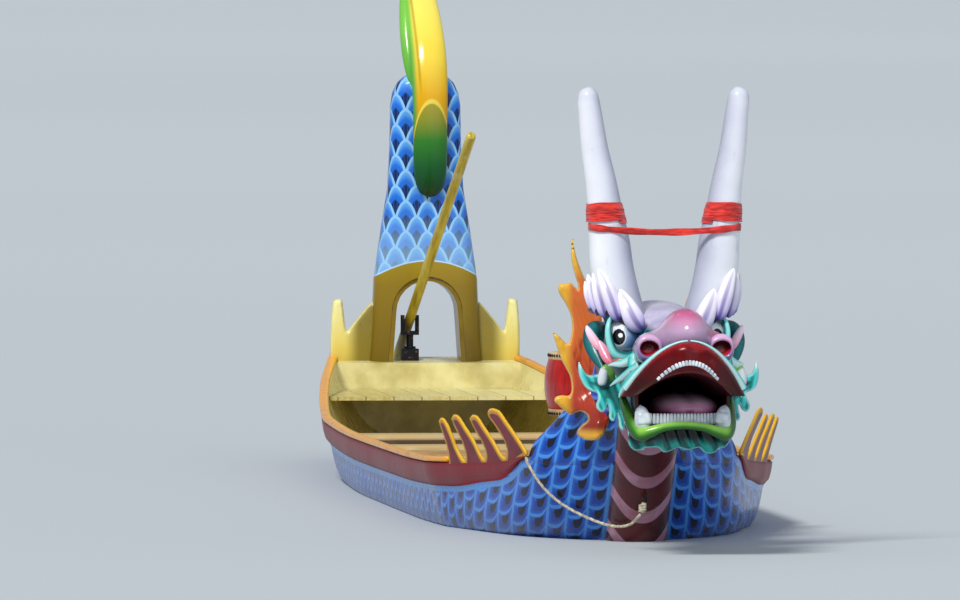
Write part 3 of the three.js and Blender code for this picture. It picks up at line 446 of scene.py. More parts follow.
def dress(node_name, material):
    """Gives a solid from the model its finish."""
    slots = nodes[node_name].data.materials
    slots.clear()
    slots.append(material)


def place_piece(piece, material, slot, *hidden, body="boat"):
    """The last steps for a single piece: its finish, body and the solids that it stands for. slot is not
    used.
    """
    piece.data.materials.append(material)
    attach(piece, body)
    if hidden:
        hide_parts(*hidden)


def finish_pair(pieces, material, slot, node=None):
    """The last steps for a starboard and a port piece, which may stand for solids of the same name and
    side."""
    for piece, side in zip(pieces, ("starboard", "port")):
        place_piece(piece, material, slot, *([f"{node}_{side}"] if node else []))


print("shader class ready")

# %% [markdown]
# ## The bow rope
# A thin pale rope hangs in a slack loop from the root of the starboard prong plate to a knot at the eye on
# the stem. It is a tube along a fixed route, with three strands that wind round each other, so its section
# is a clover that turns as it goes along. The knot is a short fat winding of the same rope.

# %% Rope and knot
ROPE_RADIUS = 0.006
STRANDS, STRAND_TURNS_PER_M = 3, 28.0
ROPE_ROUTE = [
    (-0.492, 0.022, 0.372), (-0.478, -0.010, 0.330), (-0.420, -0.034, 0.240), (-0.330, -0.060, 0.160),
    (-0.206, -0.130, 0.096), (-0.120, -0.240, 0.072), (-0.060, -0.330, 0.084), (-0.022, -0.392, 0.130),
]


def strand_tube(route, radius, rings, sides=18, depth=0.16, face=(0, -1, 0)):
    """A rope: radius times 1 + depth cos(strands times turn), and this clover turns with the length run."""
    rows = np.column_stack([np.asarray(route, float), np.full(len(route), radius)])
    rings_points = limb_points(rows, rings, sides, face=face)
    centres = rings_points.mean(axis=1, keepdims=True)
    run = run_along(centres[:, 0])
    turn = full_turn(sides)
    swell = 1 + depth * np.cos(STRANDS * (turn - 2 * np.pi * STRAND_TURNS_PER_M / STRANDS * run[:, None]))
    return centres + (rings_points - centres) * swell[..., None], centres[:, 0], run[-1]


rope_points, rope_path, rope_length = strand_tube(ROPE_ROUTE, ROPE_RADIUS, 520)
bow_rope = mesh_piece("rope_tube", *grid_parts(rope_points))
KNOT_MIDDLE = (-0.014, -0.418, 0.160)
KNOT_TURNS, KNOT_HALF = 3.2, (0.0125, 0.0105)
knot_turn = np.linspace(0, KNOT_TURNS * 2 * np.pi, 60)
knot_route = np.column_stack([
    KNOT_MIDDLE[0] + KNOT_HALF[0] * np.cos(knot_turn),
    KNOT_MIDDLE[1] - 0.001 + KNOT_HALF[1] * np.sin(knot_turn),
    KNOT_MIDDLE[2] + np.linspace(-0.017, 0.02, 60),
])
knot_coil, _, _ = strand_tube(knot_route, ROPE_RADIUS * 0.95, 260, face=(0, 0, 1))
knot_core = limb_points([(-0.014, -0.418, 0.138, 0.004), (-0.014, -0.419, 0.150, 0.013),
                         (-0.013, -0.419, 0.170, 0.012), (-0.012, -0.417, 0.186, 0.004)], 20, 16)
rope_knot = mesh_piece("rope_knot_coil", *joined([grid_parts(knot_coil), grid_parts(knot_core)]))

paint = Paint("rope_fibre")
fibre = paint.noise(900.0, detail=2.0)
strand_tint = paint.ramp(paint.noise(60.0), (0.3, "8c8064"), (0.7, "e6dcc0"))
paint.set(Base_Color=strand_tint, Roughness=0.85, Normal=paint.bump(fibre, 0.0006, 0.7), Sheen_Weight=0.3)
rope_fibre = paint.material
for piece, node in ((bow_rope, "bow_rope"), (rope_knot, "rope_knot")):
    place_piece(piece, rope_fibre, "rope", node)
print("rope length", round(rope_length, 3), "m")

# %% [markdown]
# ## The hull
# A dragon boat's hull is one long fair curve. The lines are typed as a few stations along the boat, and
# smooth curves through them give the skin. The skin is closed: it runs down the outside, over the rim and
# along the inside, so it has its real wall. The solid model has straight facets between the stations,
# which would catch the light, so this piece takes its place.

# %% Hull lines
HULL_WALL = 0.02
# How much a step along the boat counts in the scales' own width near the bow.
ALONG = 0.50
# The belly band's edge: z and aft.
BAND_EDGE = np.array([
    (-0.142, 0.348), (-0.047, 0.048), (0.128, -0.142), (0.350, -0.372), (0.480, -0.480), (0.600, -0.575),
    (0.700, -0.640), (0.850, -0.640), (0.990, -0.600),
])
BAND_SIDE, RIM_LEVEL, SLOPE_GAIN = 0.14, 0.366, 1.12
HOLLOW_FROM, HOLLOW_TO = 0.23, 9.18
# Where a step along the boat comes to count in full, and how gently.
FULL_FROM, FULL_BLEND = 1.10, 0.06
# The strake's point, and the length over which it grows to its full height.
STRAKE_POINT, STRAKE_GROWTH = 0.045, 0.45
# Columns: aft, then x and z of the gunwale, the strake's foot, the bilge and the flat keel's edge.
STATIONS = np.array([
    (-0.370, 0.160, 0.381, 0.158, 0.374, 0.150, 0.366, 0.140, 0.352),
    (-0.140, 0.345, 0.381, 0.325, 0.300, 0.250, 0.200, 0.142, 0.130),
    (0.050, 0.470, 0.378, 0.452, 0.292, 0.350, 0.095, 0.140, -0.045),
    (0.350, 0.540, 0.352, 0.535, 0.262, 0.470, 0.040, 0.135, -0.140),
    (0.700, 0.625, 0.330, 0.615, 0.235, 0.540, 0.000, 0.140, -0.190),
    (1.100, 0.722, 0.312, 0.700, 0.200, 0.600, -0.020, 0.150, -0.212),
    (1.500, 0.790, 0.300, 0.765, 0.190, 0.660, -0.040, 0.170, -0.220),
    (2.500, 0.800, 0.288, 0.785, 0.178, 0.690, -0.050, 0.190, -0.220),
    (4.700, 0.800, 0.280, 0.785, 0.170, 0.695, -0.050, 0.200, -0.220),
    (6.500, 0.760, 0.288, 0.742, 0.178, 0.640, -0.045, 0.180, -0.215),
    (7.500, 0.690, 0.322, 0.668, 0.215, 0.550, -0.020, 0.150, -0.195),
    (8.300, 0.610, 0.405, 0.585, 0.295, 0.450, 0.040, 0.120, -0.140),
    (9.000, 0.515, 0.475, 0.490, 0.365, 0.345, 0.130, 0.090, 0.000),
    (9.490, 0.449, 0.510, 0.424, 0.404, 0.280, 0.206, 0.069, 0.092),
])


def monotone(table, aft):
    """Table columns at places aft, by cubic pieces whose slopes are limited so that they never overshoot."""
    x, y = table[:, 0], table[:, 1:]
    step = np.diff(x)[:, None]
    slope = np.diff(y, axis=0) / step
    before, after = slope[:-1], slope[1:]
    inner = np.where(before * after > 0, 2 * before * after / (before + after + 1e-12), 0)
    tangent = np.concatenate([slope[:1], inner, slope[-1:]])
    i = np.clip(np.searchsorted(x, aft, side="right") - 1, 0, len(x) - 2)
    h = step[i]
    t = ((aft - x[i]) / step[i, 0])[:, None]
    return (
        (2 * t**3 - 3 * t**2 + 1) * y[i] + (t**3 - 2 * t**2 + t) * h * tangent[i]
        + (3 * t**2 - 2 * t**3) * y[i + 1] + (t**3 - t**2) * h * tangent[i + 1]
    )


def section_half(aft, count):
    """Half-sections from gunwale to keel: a Catmull-Rom curve through the four typed points of each
    station."""
    table = monotone(STATIONS, aft).reshape(len(aft), 4, 2)
    return smooth(table.transpose(1, 0, 2), count).transpose(1, 0, 2)


hull_aft = np.concatenate([
    np.linspace(-0.370, 0.225, 60), np.linspace(0.235, 1.5, 70), np.linspace(1.54, 9.175, 170),
    np.linspace(9.185, 9.490, 20),
])
# Points on a half-section, and the number of the one at the strake's foot.
HALF_COUNT, FOOT_POINT = 22, 7
half = section_half(hull_aft, HALF_COUNT)
girth = run_along(half)


def run_aft(aft):
    """ALONG times the aft place near the bow, growing to the whole of it further on."""
    past = aft - FULL_FROM
    return ALONG * aft + (1 - ALONG) * (past + np.sqrt(past**2 + FULL_BLEND)) / 2


def column_place(x, aft, z):
    """The level distance back from the belly band's edge, as a hypotenuse of the steps across and aft."""
    edge = np.interp(z, BAND_EDGE[:, 0], BAND_EDGE[:, 1])
    return np.hypot(np.abs(x) - BAND_SIDE, run_aft(aft) - run_aft(edge))


def strake_reach(aft):
    """The share of its full height that the strake has: a quarter of a sine wave back from its point."""
    return np.sin(np.clip((aft - STRAKE_POINT) / STRAKE_GROWTH, 0, 1) * math.pi / 2)


foot_girth = girth[:, FOOT_POINT] * strake_reach(hull_aft)

hollow = ((hull_aft > HOLLOW_FROM) & (hull_aft < HOLLOW_TO)).astype(float)[:, None]
inside_x = half[..., 0] - HULL_WALL
inside_z = half[:, :1, 1] + (half[..., 1] + HULL_WALL - half[:, :1, 1]) * hollow
inside_z[:, 0] = half[:, 0, 1]
inside = np.stack([np.maximum(inside_x, 0.02), np.minimum(inside_z, half[:, :1, 1])], -1)


def ring_points(section, aft, side):
    """Section points of one side as x, aft, z."""
    aft = np.broadcast_to(aft[:, None], section.shape[:2])
    return np.stack([side * section[..., 0], aft, section[..., 1]], -1)


hull_rings = to_frame(np.concatenate([
    ring_points(half, hull_aft, 1), ring_points(half, hull_aft, -1)[:, ::-1],
    ring_points(inside, hull_aft, -1), ring_points(inside, hull_aft, 1)[:, ::-1],
], axis=1))
# Marks for points on the hull's inside: a v below all others, and a distance below the strake's foot.
INSIDE_V, FAR_BELOW = -5.0, 9.0
fall = -np.diff(half[..., 1], axis=1)
under_water = (half[:, 1:, 1] < 0.02) | (fall < 0)
level_step = np.where(under_water, np.diff(girth, axis=1), fall * SLOPE_GAIN)
level = np.cumsum(np.concatenate([(RIM_LEVEL - half[:, :1, 1]) * SLOPE_GAIN, level_step], axis=1), axis=1)
outer_level = np.concatenate([level, level[:, ::-1]], axis=1)
outer_girth = np.concatenate([girth, girth[:, ::-1]], axis=1)
column = column_place(half[..., 0], hull_aft[:, None], half[..., 1])
outer_u = np.concatenate([column, column[:, ::-1]], axis=1)
hull_v = np.concatenate([outer_level, np.full_like(outer_level, INSIDE_V), outer_level[:, :1]], axis=1)
hull_u = np.concatenate([outer_u, outer_u, outer_u[:, :1]], axis=1)
hull_uv = np.stack([hull_u, hull_v], -1)
below_foot = outer_girth - foot_girth[:, None]
below_foot = np.concatenate([below_foot, np.full_like(outer_girth, FAR_BELOW)], axis=1).ravel()
hull_values = {"below_foot": np.concatenate([below_foot, [FAR_BELOW, FAR_BELOW]])}
hull = mesh_piece("hull_skin", *grid_parts(hull_rings, uv=hull_uv), values=hull_values, sharp=35)
print("hull skin:", len(hull.data.polygons), "faces")

# %% [markdown]
# ## The neck
# The neck rises from the hull's rim and carries the head. Level rings are stacked up, each from the flat
# front edge round the widest place to the back. Its u and v are worked out as the hull's are, so the
# painted scales go on upwards from the hull without a break.

# %% Neck
# Columns: z, then aft and half-breadth of the front edge, the widest place and the back.
NECK_ROWS = np.array([
    (0.330, -0.325, 0.150, 0.056, 0.4500, 0.345, 0.290),
    (0.366, -0.374, 0.168, 0.056, 0.4720, 0.345, 0.310),
    (0.440, -0.420, 0.140, 0.020, 0.448, 0.270, 0.280),
    (0.500, -0.478, 0.138, -0.010, 0.396, 0.210, 0.240),
    (0.590, -0.562, 0.138, -0.070, 0.326, 0.130, 0.195),
    (0.700, -0.640, 0.138, -0.130, 0.280, 0.060, 0.165),
    (0.850, -0.640, 0.130, -0.190, 0.232, 0.000, 0.140),
    (0.990, -0.600, 0.110, -0.260, 0.190, -0.070, 0.110),
])
neck_rows = smooth(NECK_ROWS, 48)
neck_side = np.stack([neck_rows[:, 2:0:-1], neck_rows[:, 4:2:-1], neck_rows[:, 6:4:-1]], 1)
neck_half = smooth(neck_side.transpose(1, 0, 2), 30).transpose(1, 0, 2)
neck_side_u = column_place(neck_half[..., 0], neck_half[..., 1], neck_rows[:, :1])
back_share = np.linspace(1, 0, 9)[1:-1]
back_x = neck_half[:, -1:, 0] * back_share
neck_column = np.concatenate([neck_side_u, neck_side_u[:, -1:] + neck_half[:, -1:, 0] - back_x], axis=1)
neck_back = np.stack([back_x, np.broadcast_to(neck_half[:, -1:, 1], back_x.shape)], -1)
neck_half = np.concatenate([neck_half, neck_back], axis=1)
neck_z = np.broadcast_to(neck_rows[:, :1], neck_half.shape[:2])
neck_port = np.stack([neck_half[..., 0], neck_half[..., 1], neck_z], -1)
neck_rings = to_frame(np.concatenate([neck_port, (neck_port * [-1, 1, 1])[:, ::-1]], axis=1))
neck_u = np.concatenate([neck_column, neck_column[:, ::-1], neck_column[:, :1]], axis=1)
neck_v = np.broadcast_to((RIM_LEVEL - neck_rows[:, :1]) * SLOPE_GAIN, neck_u.shape)
neck = mesh_piece("neck_skin", *grid_parts(neck_rings, uv=np.stack([neck_u, neck_v], -1)))
print("neck:", len(neck.data.polygons), "faces")

# %% [markdown]
# ## Painted scales
# On the bow and neck each scale is a hand-painted U with a thick pale outline, deep blue inside, and a dark
# patch of painted shade under its upper edge, where the U above overlaps it. The Us stand in columns. In a
# column, v plus a parabola of the distance from the column's middle counts the Us, because the parabola
# bends each level line into a U. The fraction of that count says how far down its own U a point is, and
# both painted edges come out of it.

# %% Scales
SCALE_WIDE, SCALE_TALL = 0.090, 0.103
# The U's depth as a share of its height, how far its lowest point lies to one side, and how far lines wander.
U_DEPTH, U_SKEW, WANDER_U, WANDER_V = 0.36, 0.22, 0.012, 0.010
# Where the pale outline and the lighter rim inside it begin and end, from the edge of the U.
OUTLINE_FADE, RIM_FADE = (0.0078, 0.0046), (0.024, 0.008)
# The dark patch of painted shade: its middle across and down, and its half-size, in half-breadths and
# heights of the U.
PATCH_SIDE, PATCH_DOWN, PATCH_HALF = 0.14, 0.11, 0.46
PALE_BLUE, DEEP_BLUE, MID_BLUE, NAVY = "4690de", "0e3f9c", "175cc8", "060b26"


def scale_paint(paint, u, v, wide=SCALE_WIDE, tall=SCALE_TALL):
    """The scales' colour and height: u and v in metres, v growing towards the tip of each U."""
    wobble = paint.noise(7.0, detail=1.0) - 0.5
    place = (u + WANDER_U * wobble) / wide
    column = place.floor()
    across = (place - column) * 2 - 1
    skew = across - U_SKEW
    count = (
        (v + WANDER_V * wobble) / tall - U_DEPTH * (1 - (skew * skew * skew).abs()) + (column * 0.5).fract()
    )
    down = count.fract()
    wall = (1 - across.abs()) * (wide / 2)
    lower = down.least(1 - down) * (tall * 0.75)
    edge = wall.least(lower)
    line = edge.step(*OUTLINE_FADE)
    inner = edge.step(*RIM_FADE)
    # The dark patch is painted shade under the overlapping U above, and the returned height sinks it too.
    patch_u = (across + PATCH_SIDE) / PATCH_HALF
    patch_v = (down - PATCH_DOWN) / PATCH_HALF
    overlap_shade = (patch_u * patch_u * patch_u.abs() + patch_v * patch_v).step(1.06, 0.90) * down.step(0.10, 0.14)
    body = paint.mix(inner, DEEP_BLUE, MID_BLUE)
    body = paint.mix(overlap_shade, body, NAVY)
    colour = paint.mix(line, body, PALE_BLUE)
    return colour, edge.step(0.008, 0.003) * 0.8 - overlap_shade * 0.4


# The pale line under the strake: how far below the foot, its fade, and where it begins. Then the stem's line.
FOOT_LINE, FOOT_LINE_FADE, FOOT_LINE_FROM = 0.014, (0.016, 0.010), (0.34, 0.46)
STEM_LINE_FADE = (0.018, 0.012)
paint = Paint("hull_scales")
u, v = paint.uv()
scale_colour, scale_height = scale_paint(paint, u, v)
strake_gap = paint.value("below_foot")
strake_line = (strake_gap - FOOT_LINE).abs().step(*FOOT_LINE_FADE) * u.step(*FOOT_LINE_FROM)
stem_line = u.step(*STEM_LINE_FADE)
outside_colour = paint.mix(strake_line.most(stem_line), scale_colour, PALE_BLUE)
inside_mask = v.step(-0.8, -1.2)
inside_wear = paint.noise(5.0, detail=5.0, stretch=(1, 0.35, 1))
inside_colour = paint.ramp(inside_wear, (0.32, "b8a860"), (0.6, "e6dc9c"), (0.8, "efe8bc"))
# Darker towards the waterline.
near_water = paint.place()[2].step(0.10, -0.02)
outside_colour = paint.mix(near_water * 0.35, outside_colour, "0c2a52")
scale_relief = paint.bump(scale_height * (1 - inside_mask), 0.0012, 0.8)
gloss_paint(paint, paint.mix(inside_mask, outside_colour, inside_colour), 0.28, under=scale_relief)
place_piece(hull, paint.material, "hull_blue", "hull_bow", "hull_middle", "hull_stern")

paint = Paint("neck_scales")
u, v = paint.uv()
scale_colour, scale_height = scale_paint(paint, u, v)
neck_colour = paint.mix(u.step(*STEM_LINE_FADE), scale_colour, PALE_BLUE)
gloss_paint(paint, neck_colour, 0.28, under=paint.bump(scale_height, 0.0012, 0.8))
place_piece(neck, paint.material, "neck_blue", "neck")
print("scales painted")

# %% [markdown]
# ## Rails and boards of the bow
# Under the rim a maroon strake runs along each side, and a gold cap lies on the rim itself. Both follow
# the hull's own lines, so they are profiles carried along the same curve. Beside the bow stands a board
# cut into four prongs that sweep aft. A flat board with rounded edges comes from its outline: the
# thickness rises from nothing at the outline, as a quarter circle, so no bevel is needed.

# %% Sheer strakes and gunwale caps
STRAKE_GAP, STRAKE_THICK = 0.0015, 0.014
CAP_INSIDE, CAP_OUTSIDE, CAP_LOW, CAP_HIGH = 0.026, 0.020, 0.0006, 0.024
# The places aft of both ends.
STRAKE_RUN, CAP_RUN = (0.06, 9.48), (1.12, 9.47)


def strake_points(aft):
    """The skin's x and z from the rim to the strake's foot, and back 14 mm further out with rounded edges."""
    full = section_half(aft, HALF_COUNT)[:, : FOOT_POINT + 1]
    at = strake_reach(aft)[:, None] * np.arange(FOOT_POINT + 1)
    low = np.minimum(at.astype(int), FOOT_POINT - 1)[..., None]
    part = at[..., None] - low
    side = np.take_along_axis(full, low, 1) * (1 - part) + np.take_along_axis(full, low + 1, 1) * part
    share = np.linspace(0, 1, side.shape[1])
    swell = STRAKE_THICK * (1 - np.abs(2 * share - 1) ** 6) ** 0.5
    near = side + [STRAKE_GAP, 0]
    far = near.copy()
    far[..., 0] += swell
    ring = np.concatenate([near, far[:, ::-1]], axis=1)
    return to_frame(ring_points(ring, aft, -1))


def cap_points(aft, sides=28):
    """A squared oval on the rim: each half-axis times a power 0.5 of the cosine and the sine."""
    rim = section_half(aft, 4)[:, 0]
    turn = full_turn(sides)[0]
    oval = blunt_wave(np.stack([np.cos(turn), np.sin(turn)], 1), 0.5)
    across = (CAP_OUTSIDE - CAP_INSIDE) / 2 + oval[:, 0] * (CAP_OUTSIDE + CAP_INSIDE) / 2
    up = (CAP_LOW + CAP_HIGH) / 2 + oval[:, 1] * (CAP_HIGH - CAP_LOW) / 2
    ring = np.stack([rim[:, :1] + across, rim[:, 1:] + up], -1)
    return to_frame(ring_points(ring, aft, -1))


strakes = pair(grid_parts(strake_points(np.linspace(*STRAKE_RUN, 260))), "strake")
caps = pair(grid_parts(cap_points(np.linspace(*CAP_RUN, 220))), "cap")
MAROON, GOLD, BELLY = "7e1622", "f0a428", "3a0d12"

paint = Paint("strake_maroon")
_, v = paint.uv()
band = (v - 0.25).abs().step(0.25, 0.06)
strake_colour = paint.mix(band * 0.5, MAROON, "5e0e18")
finish_pair(strakes, gloss_paint(paint, strake_colour, 0.38, coat=0.0, shine=0.15), "strake", "sheer_strake")
paint = Paint("cap_gold")
scuff = paint.noise(14.0, detail=5.0, stretch=(1, 0.2, 1)).step(0.56, 0.66)
gold = paint.mix(scuff * 0.5, GOLD, "b8741a")
finish_pair(caps, gloss_paint(paint, gold, 0.3), "cap", "gunwale_cap")

# %% Prong plates
PRONG_THICK, PRONG_LEAN, PRONG_FOOT = 0.015, 0.3, -0.045
# The places aft of both ends, and how far outside and above the rim the foot's line lies.
PRONG_RUN, PRONG_OUT, PRONG_LIFT = (0.055, 1.110), 0.010, 0.002
# Columns: along the gunwale, up the plate.
PRONG_OUTLINE = np.array([
    (-0.003, 0.008), (0.069, 0.096), (0.151, 0.172), (0.195, 0.213), (0.238, 0.226), (0.288, 0.231),
    (0.334, 0.224), (0.350, 0.211), (0.343, 0.185), (0.295, 0.143), (0.245, 0.090), (0.234, 0.047),
    (0.258, 0.016), (0.300, 0.000), (0.344, 0.018), (0.395, 0.084), (0.456, 0.145), (0.505, 0.195),
    (0.550, 0.208), (0.594, 0.201), (0.609, 0.187), (0.586, 0.136), (0.539, 0.080), (0.525, 0.038),
    (0.546, 0.012), (0.582, 0.000), (0.612, 0.018), (0.650, 0.091), (0.710, 0.155), (0.758, 0.205),
    (0.806, 0.216), (0.844, 0.207), (0.855, 0.191), (0.831, 0.138), (0.803, 0.087), (0.799, 0.038),
    (0.820, 0.010), (0.852, 0.000), (0.881, 0.016), (0.909, 0.064), (0.925, 0.130), (0.953, 0.189),
    (0.986, 0.206), (1.021, 0.200), (1.035, 0.184), (1.029, 0.129), (1.026, 0.067), (1.050, 0.008),
    (1.072, PRONG_FOOT), (0.720, PRONG_FOOT), (0.360, PRONG_FOOT), (0.200, -0.036), (0.080, -0.016),
])


def plate_on_gunwale(first, last, flat):
    """Places (along, up, through) on a board that stands on the rim between two places and leans outwards."""
    rims = [monotone(STATIONS, np.array([aft]))[0] for aft in (first, last)]
    feet = [(-row[0] - PRONG_OUT, aft, row[1] + PRONG_LIFT) for row, aft in zip(rims, (first, last))]
    ends = [to_frame(foot) for foot in feet]
    along = unit(ends[1] - ends[0])
    up = np.array([-PRONG_LEAN, 0, 1])
    up = unit(up - along * (up @ along))
    return ends[0] + flat[:, :1] * along + flat[:, 1:2] * up + flat[:, 2:3] * np.cross(along, up)


def prong_relief(along, up, near):
    """A shallow groove inside the gold edge, 1.5 mm deep."""
    return -0.0015 * np.exp(-((near - 0.013) / 0.0025) ** 2)


flat, faces, near = plate_parts(rounded(PRONG_OUTLINE, 260), PRONG_THICK, 0.006, 0.008, prong_relief)
prong_uv = flat[np.concatenate(faces)][:, :2]
prong_verts = plate_on_gunwale(*PRONG_RUN, flat)
prong_plates = pair((prong_verts, faces, prong_uv), "prongs", {"near": near})

# The gold edge's width fades between two distances from the outline; it begins above the rail.
GOLD_FADE, RAIL_TOP = (0.0250, 0.0215), (-0.026, -0.016)
paint = Paint("prong_maroon")
u, v = paint.uv()
edge = paint.value("near")
above_rail = v.step(*RAIL_TOP)
gold_line = edge.step(*GOLD_FADE) * above_rail
worn = paint.noise(11.0, detail=5.0)
field = paint.mix(worn.step(0.45, 0.62), MAROON, "6a121c")
golds = paint.mix(edge.step(0.006, 0.011), "e6b030", "c8922a")
prong_colour = paint.mix(gold_line, field, golds)
prong_paint = gloss_paint(paint, prong_colour, 0.34, coat=0.0, shine=0.15)
finish_pair(prong_plates, prong_paint, "prong", "prong_plate")
print("strakes, caps and prong plates made")

# %% [markdown]
# ## Belly strip
# A rounded maroon band climbs the stem from under the water to the chin. Broad pale crescents cross it
# like the belly plates of a snake, each hanging lowest in the middle. Across the band the section is half
# an ellipse.

# %% Belly strip
STRIP_EDGE = 0.138
# Columns: aft and z of the band's edge, then aft and z of its middle.
STRIP_ROWS = np.array([
    (0.348, -0.142, 0.250, -0.205), (0.048, -0.047, -0.130, -0.080), (-0.142, 0.128, -0.325, 0.130),
    (-0.372, 0.350, -0.505, 0.345), (-0.480, 0.480, -0.600, 0.465), (-0.575, 0.600, -0.660, 0.560),
])
# Each crescent's lowest z in the middle and its width, then how far they rise at the sides and by what power.
CRESCENTS = ((-0.075, 0.052), (0.088, 0.052), (0.250, 0.050), (0.405, 0.048))
CRESCENT_RISE, CRESCENT_POWER = 0.125, 2.2


def strip_points(rows=110, across=36):
    """Across the band, aft and z go from edge to middle by sqrt(1 - share squared); share is a cosine."""
    row = smooth(STRIP_ROWS, rows)[:, None]
    share = -np.cos(np.linspace(0, np.pi, across))[None]
    rise = np.sqrt(np.maximum(1 - share**2, 0))
    aft = row[..., 0] + (row[..., 2] - row[..., 0]) * rise - 0.0015
    z = row[..., 1] + (row[..., 3] - row[..., 1]) * rise
    front = np.stack([np.broadcast_to(STRIP_EDGE * share, aft.shape), aft, z], -1)
    back = front[:, -2:0:-4].copy()
    back[..., 1], back[..., 2] = row[..., 0], row[..., 1]
    return to_frame(np.concatenate([front, back], axis=1))


belly_strip = mesh_piece("belly_band", *grid_parts(strip_points()), sharp=50)
paint = Paint("belly_maroon")
x, y, z = paint.place()
hang = CRESCENT_RISE * (x / STRIP_EDGE).abs() ** CRESCENT_POWER
band = 0.0
for low, thick in CRESCENTS:
    height = z - hang - low
    band = band + height.step(-0.004, 0.001) * height.step(thick + 0.003, thick - 0.003)
belly = paint.mix(paint.noise(6.0, detail=3.0).step(0.3, 0.7), BELLY, "560f16")
mauve = paint.mix(paint.noise(9.0).step(0.3, 0.7), "ac8094", "945c6c")
gloss_paint(paint, paint.mix(band, belly, mauve), 0.25, under=paint.bump(band, 0.002, 0.6))
place_piece(belly_strip, paint.material, "belly", "belly_strip")

# %% [markdown]
# ## The head's bones
# The carved head is built up like a real one: a skull, an arched upper lip with the mouth's opening cut
# into it, a lower jaw, and a dark lining inside the mouth. The skull and jaw are ellipses and rounded
# boxes carried from back to front. The lip has a section of its own at each place across the mouth:
# forward over the outside, round the thick front face, and back along the opening.

# %% Skull and lower jaw
# Columns: aft, half-breadth, then z of the underside and the top.
SKULL_ROWS = [
    (-0.180, 0.130, 0.760, 0.950), (-0.420, 0.225, 0.640, 1.050), (-0.780, 0.262, 0.590, 1.105),
    (-1.120, 0.232, 0.660, 1.085), (-1.220, 0.180, 0.740, 1.066), (-1.300, 0.135, 0.800, 1.036),
    (-1.450, 0.120, 0.850, 1.000), (-1.600, 0.120, 0.885, 0.965),
]
JAW_ROWS = [
    (-0.880, 0.060, 0.540, 0.600), (-1.000, 0.140, 0.495, 0.598), (-1.300, 0.180, 0.488, 0.592),
    (-1.650, 0.200, 0.500, 0.584), (-1.850, 0.190, 0.520, 0.578),
]


def oval_loft(rows, rings, sides, power):
    """Rings across the boat: each half-axis times the cosine or sine raised to a power; 1 is an ellipse."""
    row = smooth(rows, rings)[:, None]
    turn = full_turn(sides)
    across, up = blunt_wave(np.cos(turn), power), blunt_wave(np.sin(turn), power)
    z = (row[..., 2] + row[..., 3]) / 2 + up * (row[..., 3] - row[..., 2]) / 2
    return to_frame(np.stack([row[..., 1] * across, np.broadcast_to(row[..., 0], z.shape), z], -1))


TEAL, DARK_TEAL = "1a8488", "0b4448"
skull = mesh_piece("skull_shell", *grid_parts(oval_loft(SKULL_ROWS, 40, 48, 1.0)))
paint = Paint("skull_teal")
x, y, z = paint.place()
fan = (y * 46.0 + (z * 34.0).sin() * 0.8).wave() * (z * 60.0).wave()
skull_colour = paint.mix(fan.step(0.2, 0.8), DARK_TEAL, TEAL)
top = (z - 0.55 * x.abs()).step(0.925, 0.975)
skull_colour = paint.mix(top, skull_colour, paint.ramp(paint.noise(6.0), (0.3, "a49cc0"), (0.7, "d8d2e6")))
place_piece(skull, gloss_paint(paint, skull_colour, 0.3, under=paint.bump(fan, 0.003, 0.5)), "skull", "skull")

jaw = mesh_piece("jaw_shell", *grid_parts(oval_loft(JAW_ROWS, 30, 40, 0.62)))
paint = Paint("jaw_teal")
x, y, z = paint.place()
groove = (y * 70.0 + z * 25.0).wave()
# Near black on the underside and at the front under the lips: painted shade.
jaw_colour = paint.mix(z.step(0.50, 0.59), "042022", paint.mix(groove, DARK_TEAL, TEAL))
jaw_colour = paint.mix(y.step(BOW_Y - 1.55, BOW_Y - 1.72), jaw_colour, "031416")
jaw_paint = gloss_paint(paint, jaw_colour, 0.3, under=paint.bump(groove, 0.003, 0.5))
place_piece(jaw, jaw_paint, "jaw", "lower_jaw")

# %% Upper lip
# Columns: aft, then half-breadth, foot and crown of the outside, then of the mouth's opening.
LIP_ROWS = np.array([
    (-1.180, 0.232, 0.690, 0.930, 0.150, 0.690, 0.770), (-1.500, 0.242, 0.700, 0.930, 0.160, 0.700, 0.785),
    (-1.720, 0.262, 0.708, 0.945, 0.184, 0.706, 0.804), (-1.850, 0.276, 0.714, 0.957, 0.200, 0.714, 0.822),
])
SNOUT_LEAD, LIP_FRONT = 0.230, 0.046
LIP_RINGS, LIP_ACROSS, LIP_ROLL = 26, 91, 13
lip_rows = smooth(LIP_ROWS, LIP_RINGS)[:, None]
across = np.cos(np.linspace(0, np.pi, LIP_ACROSS))[None]
lip_lead = SNOUT_LEAD * (lip_rows[..., 0] - LIP_ROWS[0, 0]) / (LIP_ROWS[-1, 0] - LIP_ROWS[0, 0])
lip_aft = lip_rows[..., 0] - lip_lead * (1 - across**2)


def lip_surface(breadth, foot, crown, fullness):
    """x = breadth times share, z = crown less the height times |share| to the power of the fullness."""
    z = lip_rows[..., foot] + (lip_rows[..., crown] - lip_rows[..., foot]) * (1 - np.abs(across) ** fullness)
    return np.stack([lip_rows[..., breadth] * across, lip_aft, z], -1)


outside, opening = lip_surface(1, 2, 3, 2.0), lip_surface(4, 5, 6, 2.1)
middle, reach = (outside[-1] + opening[-1]) / 2, (outside[-1] - opening[-1]) / 2
turn = np.linspace(0, np.pi, LIP_ROLL + 2)[1:-1, None, None]
roll = middle + reach * blunt_wave(np.cos(turn), 0.8)
roll = roll + np.array([0, -LIP_FRONT, 0]) * np.sin(turn) ** 0.8
lip_section = np.concatenate([outside, roll, opening[::-1]]).transpose(1, 0, 2)
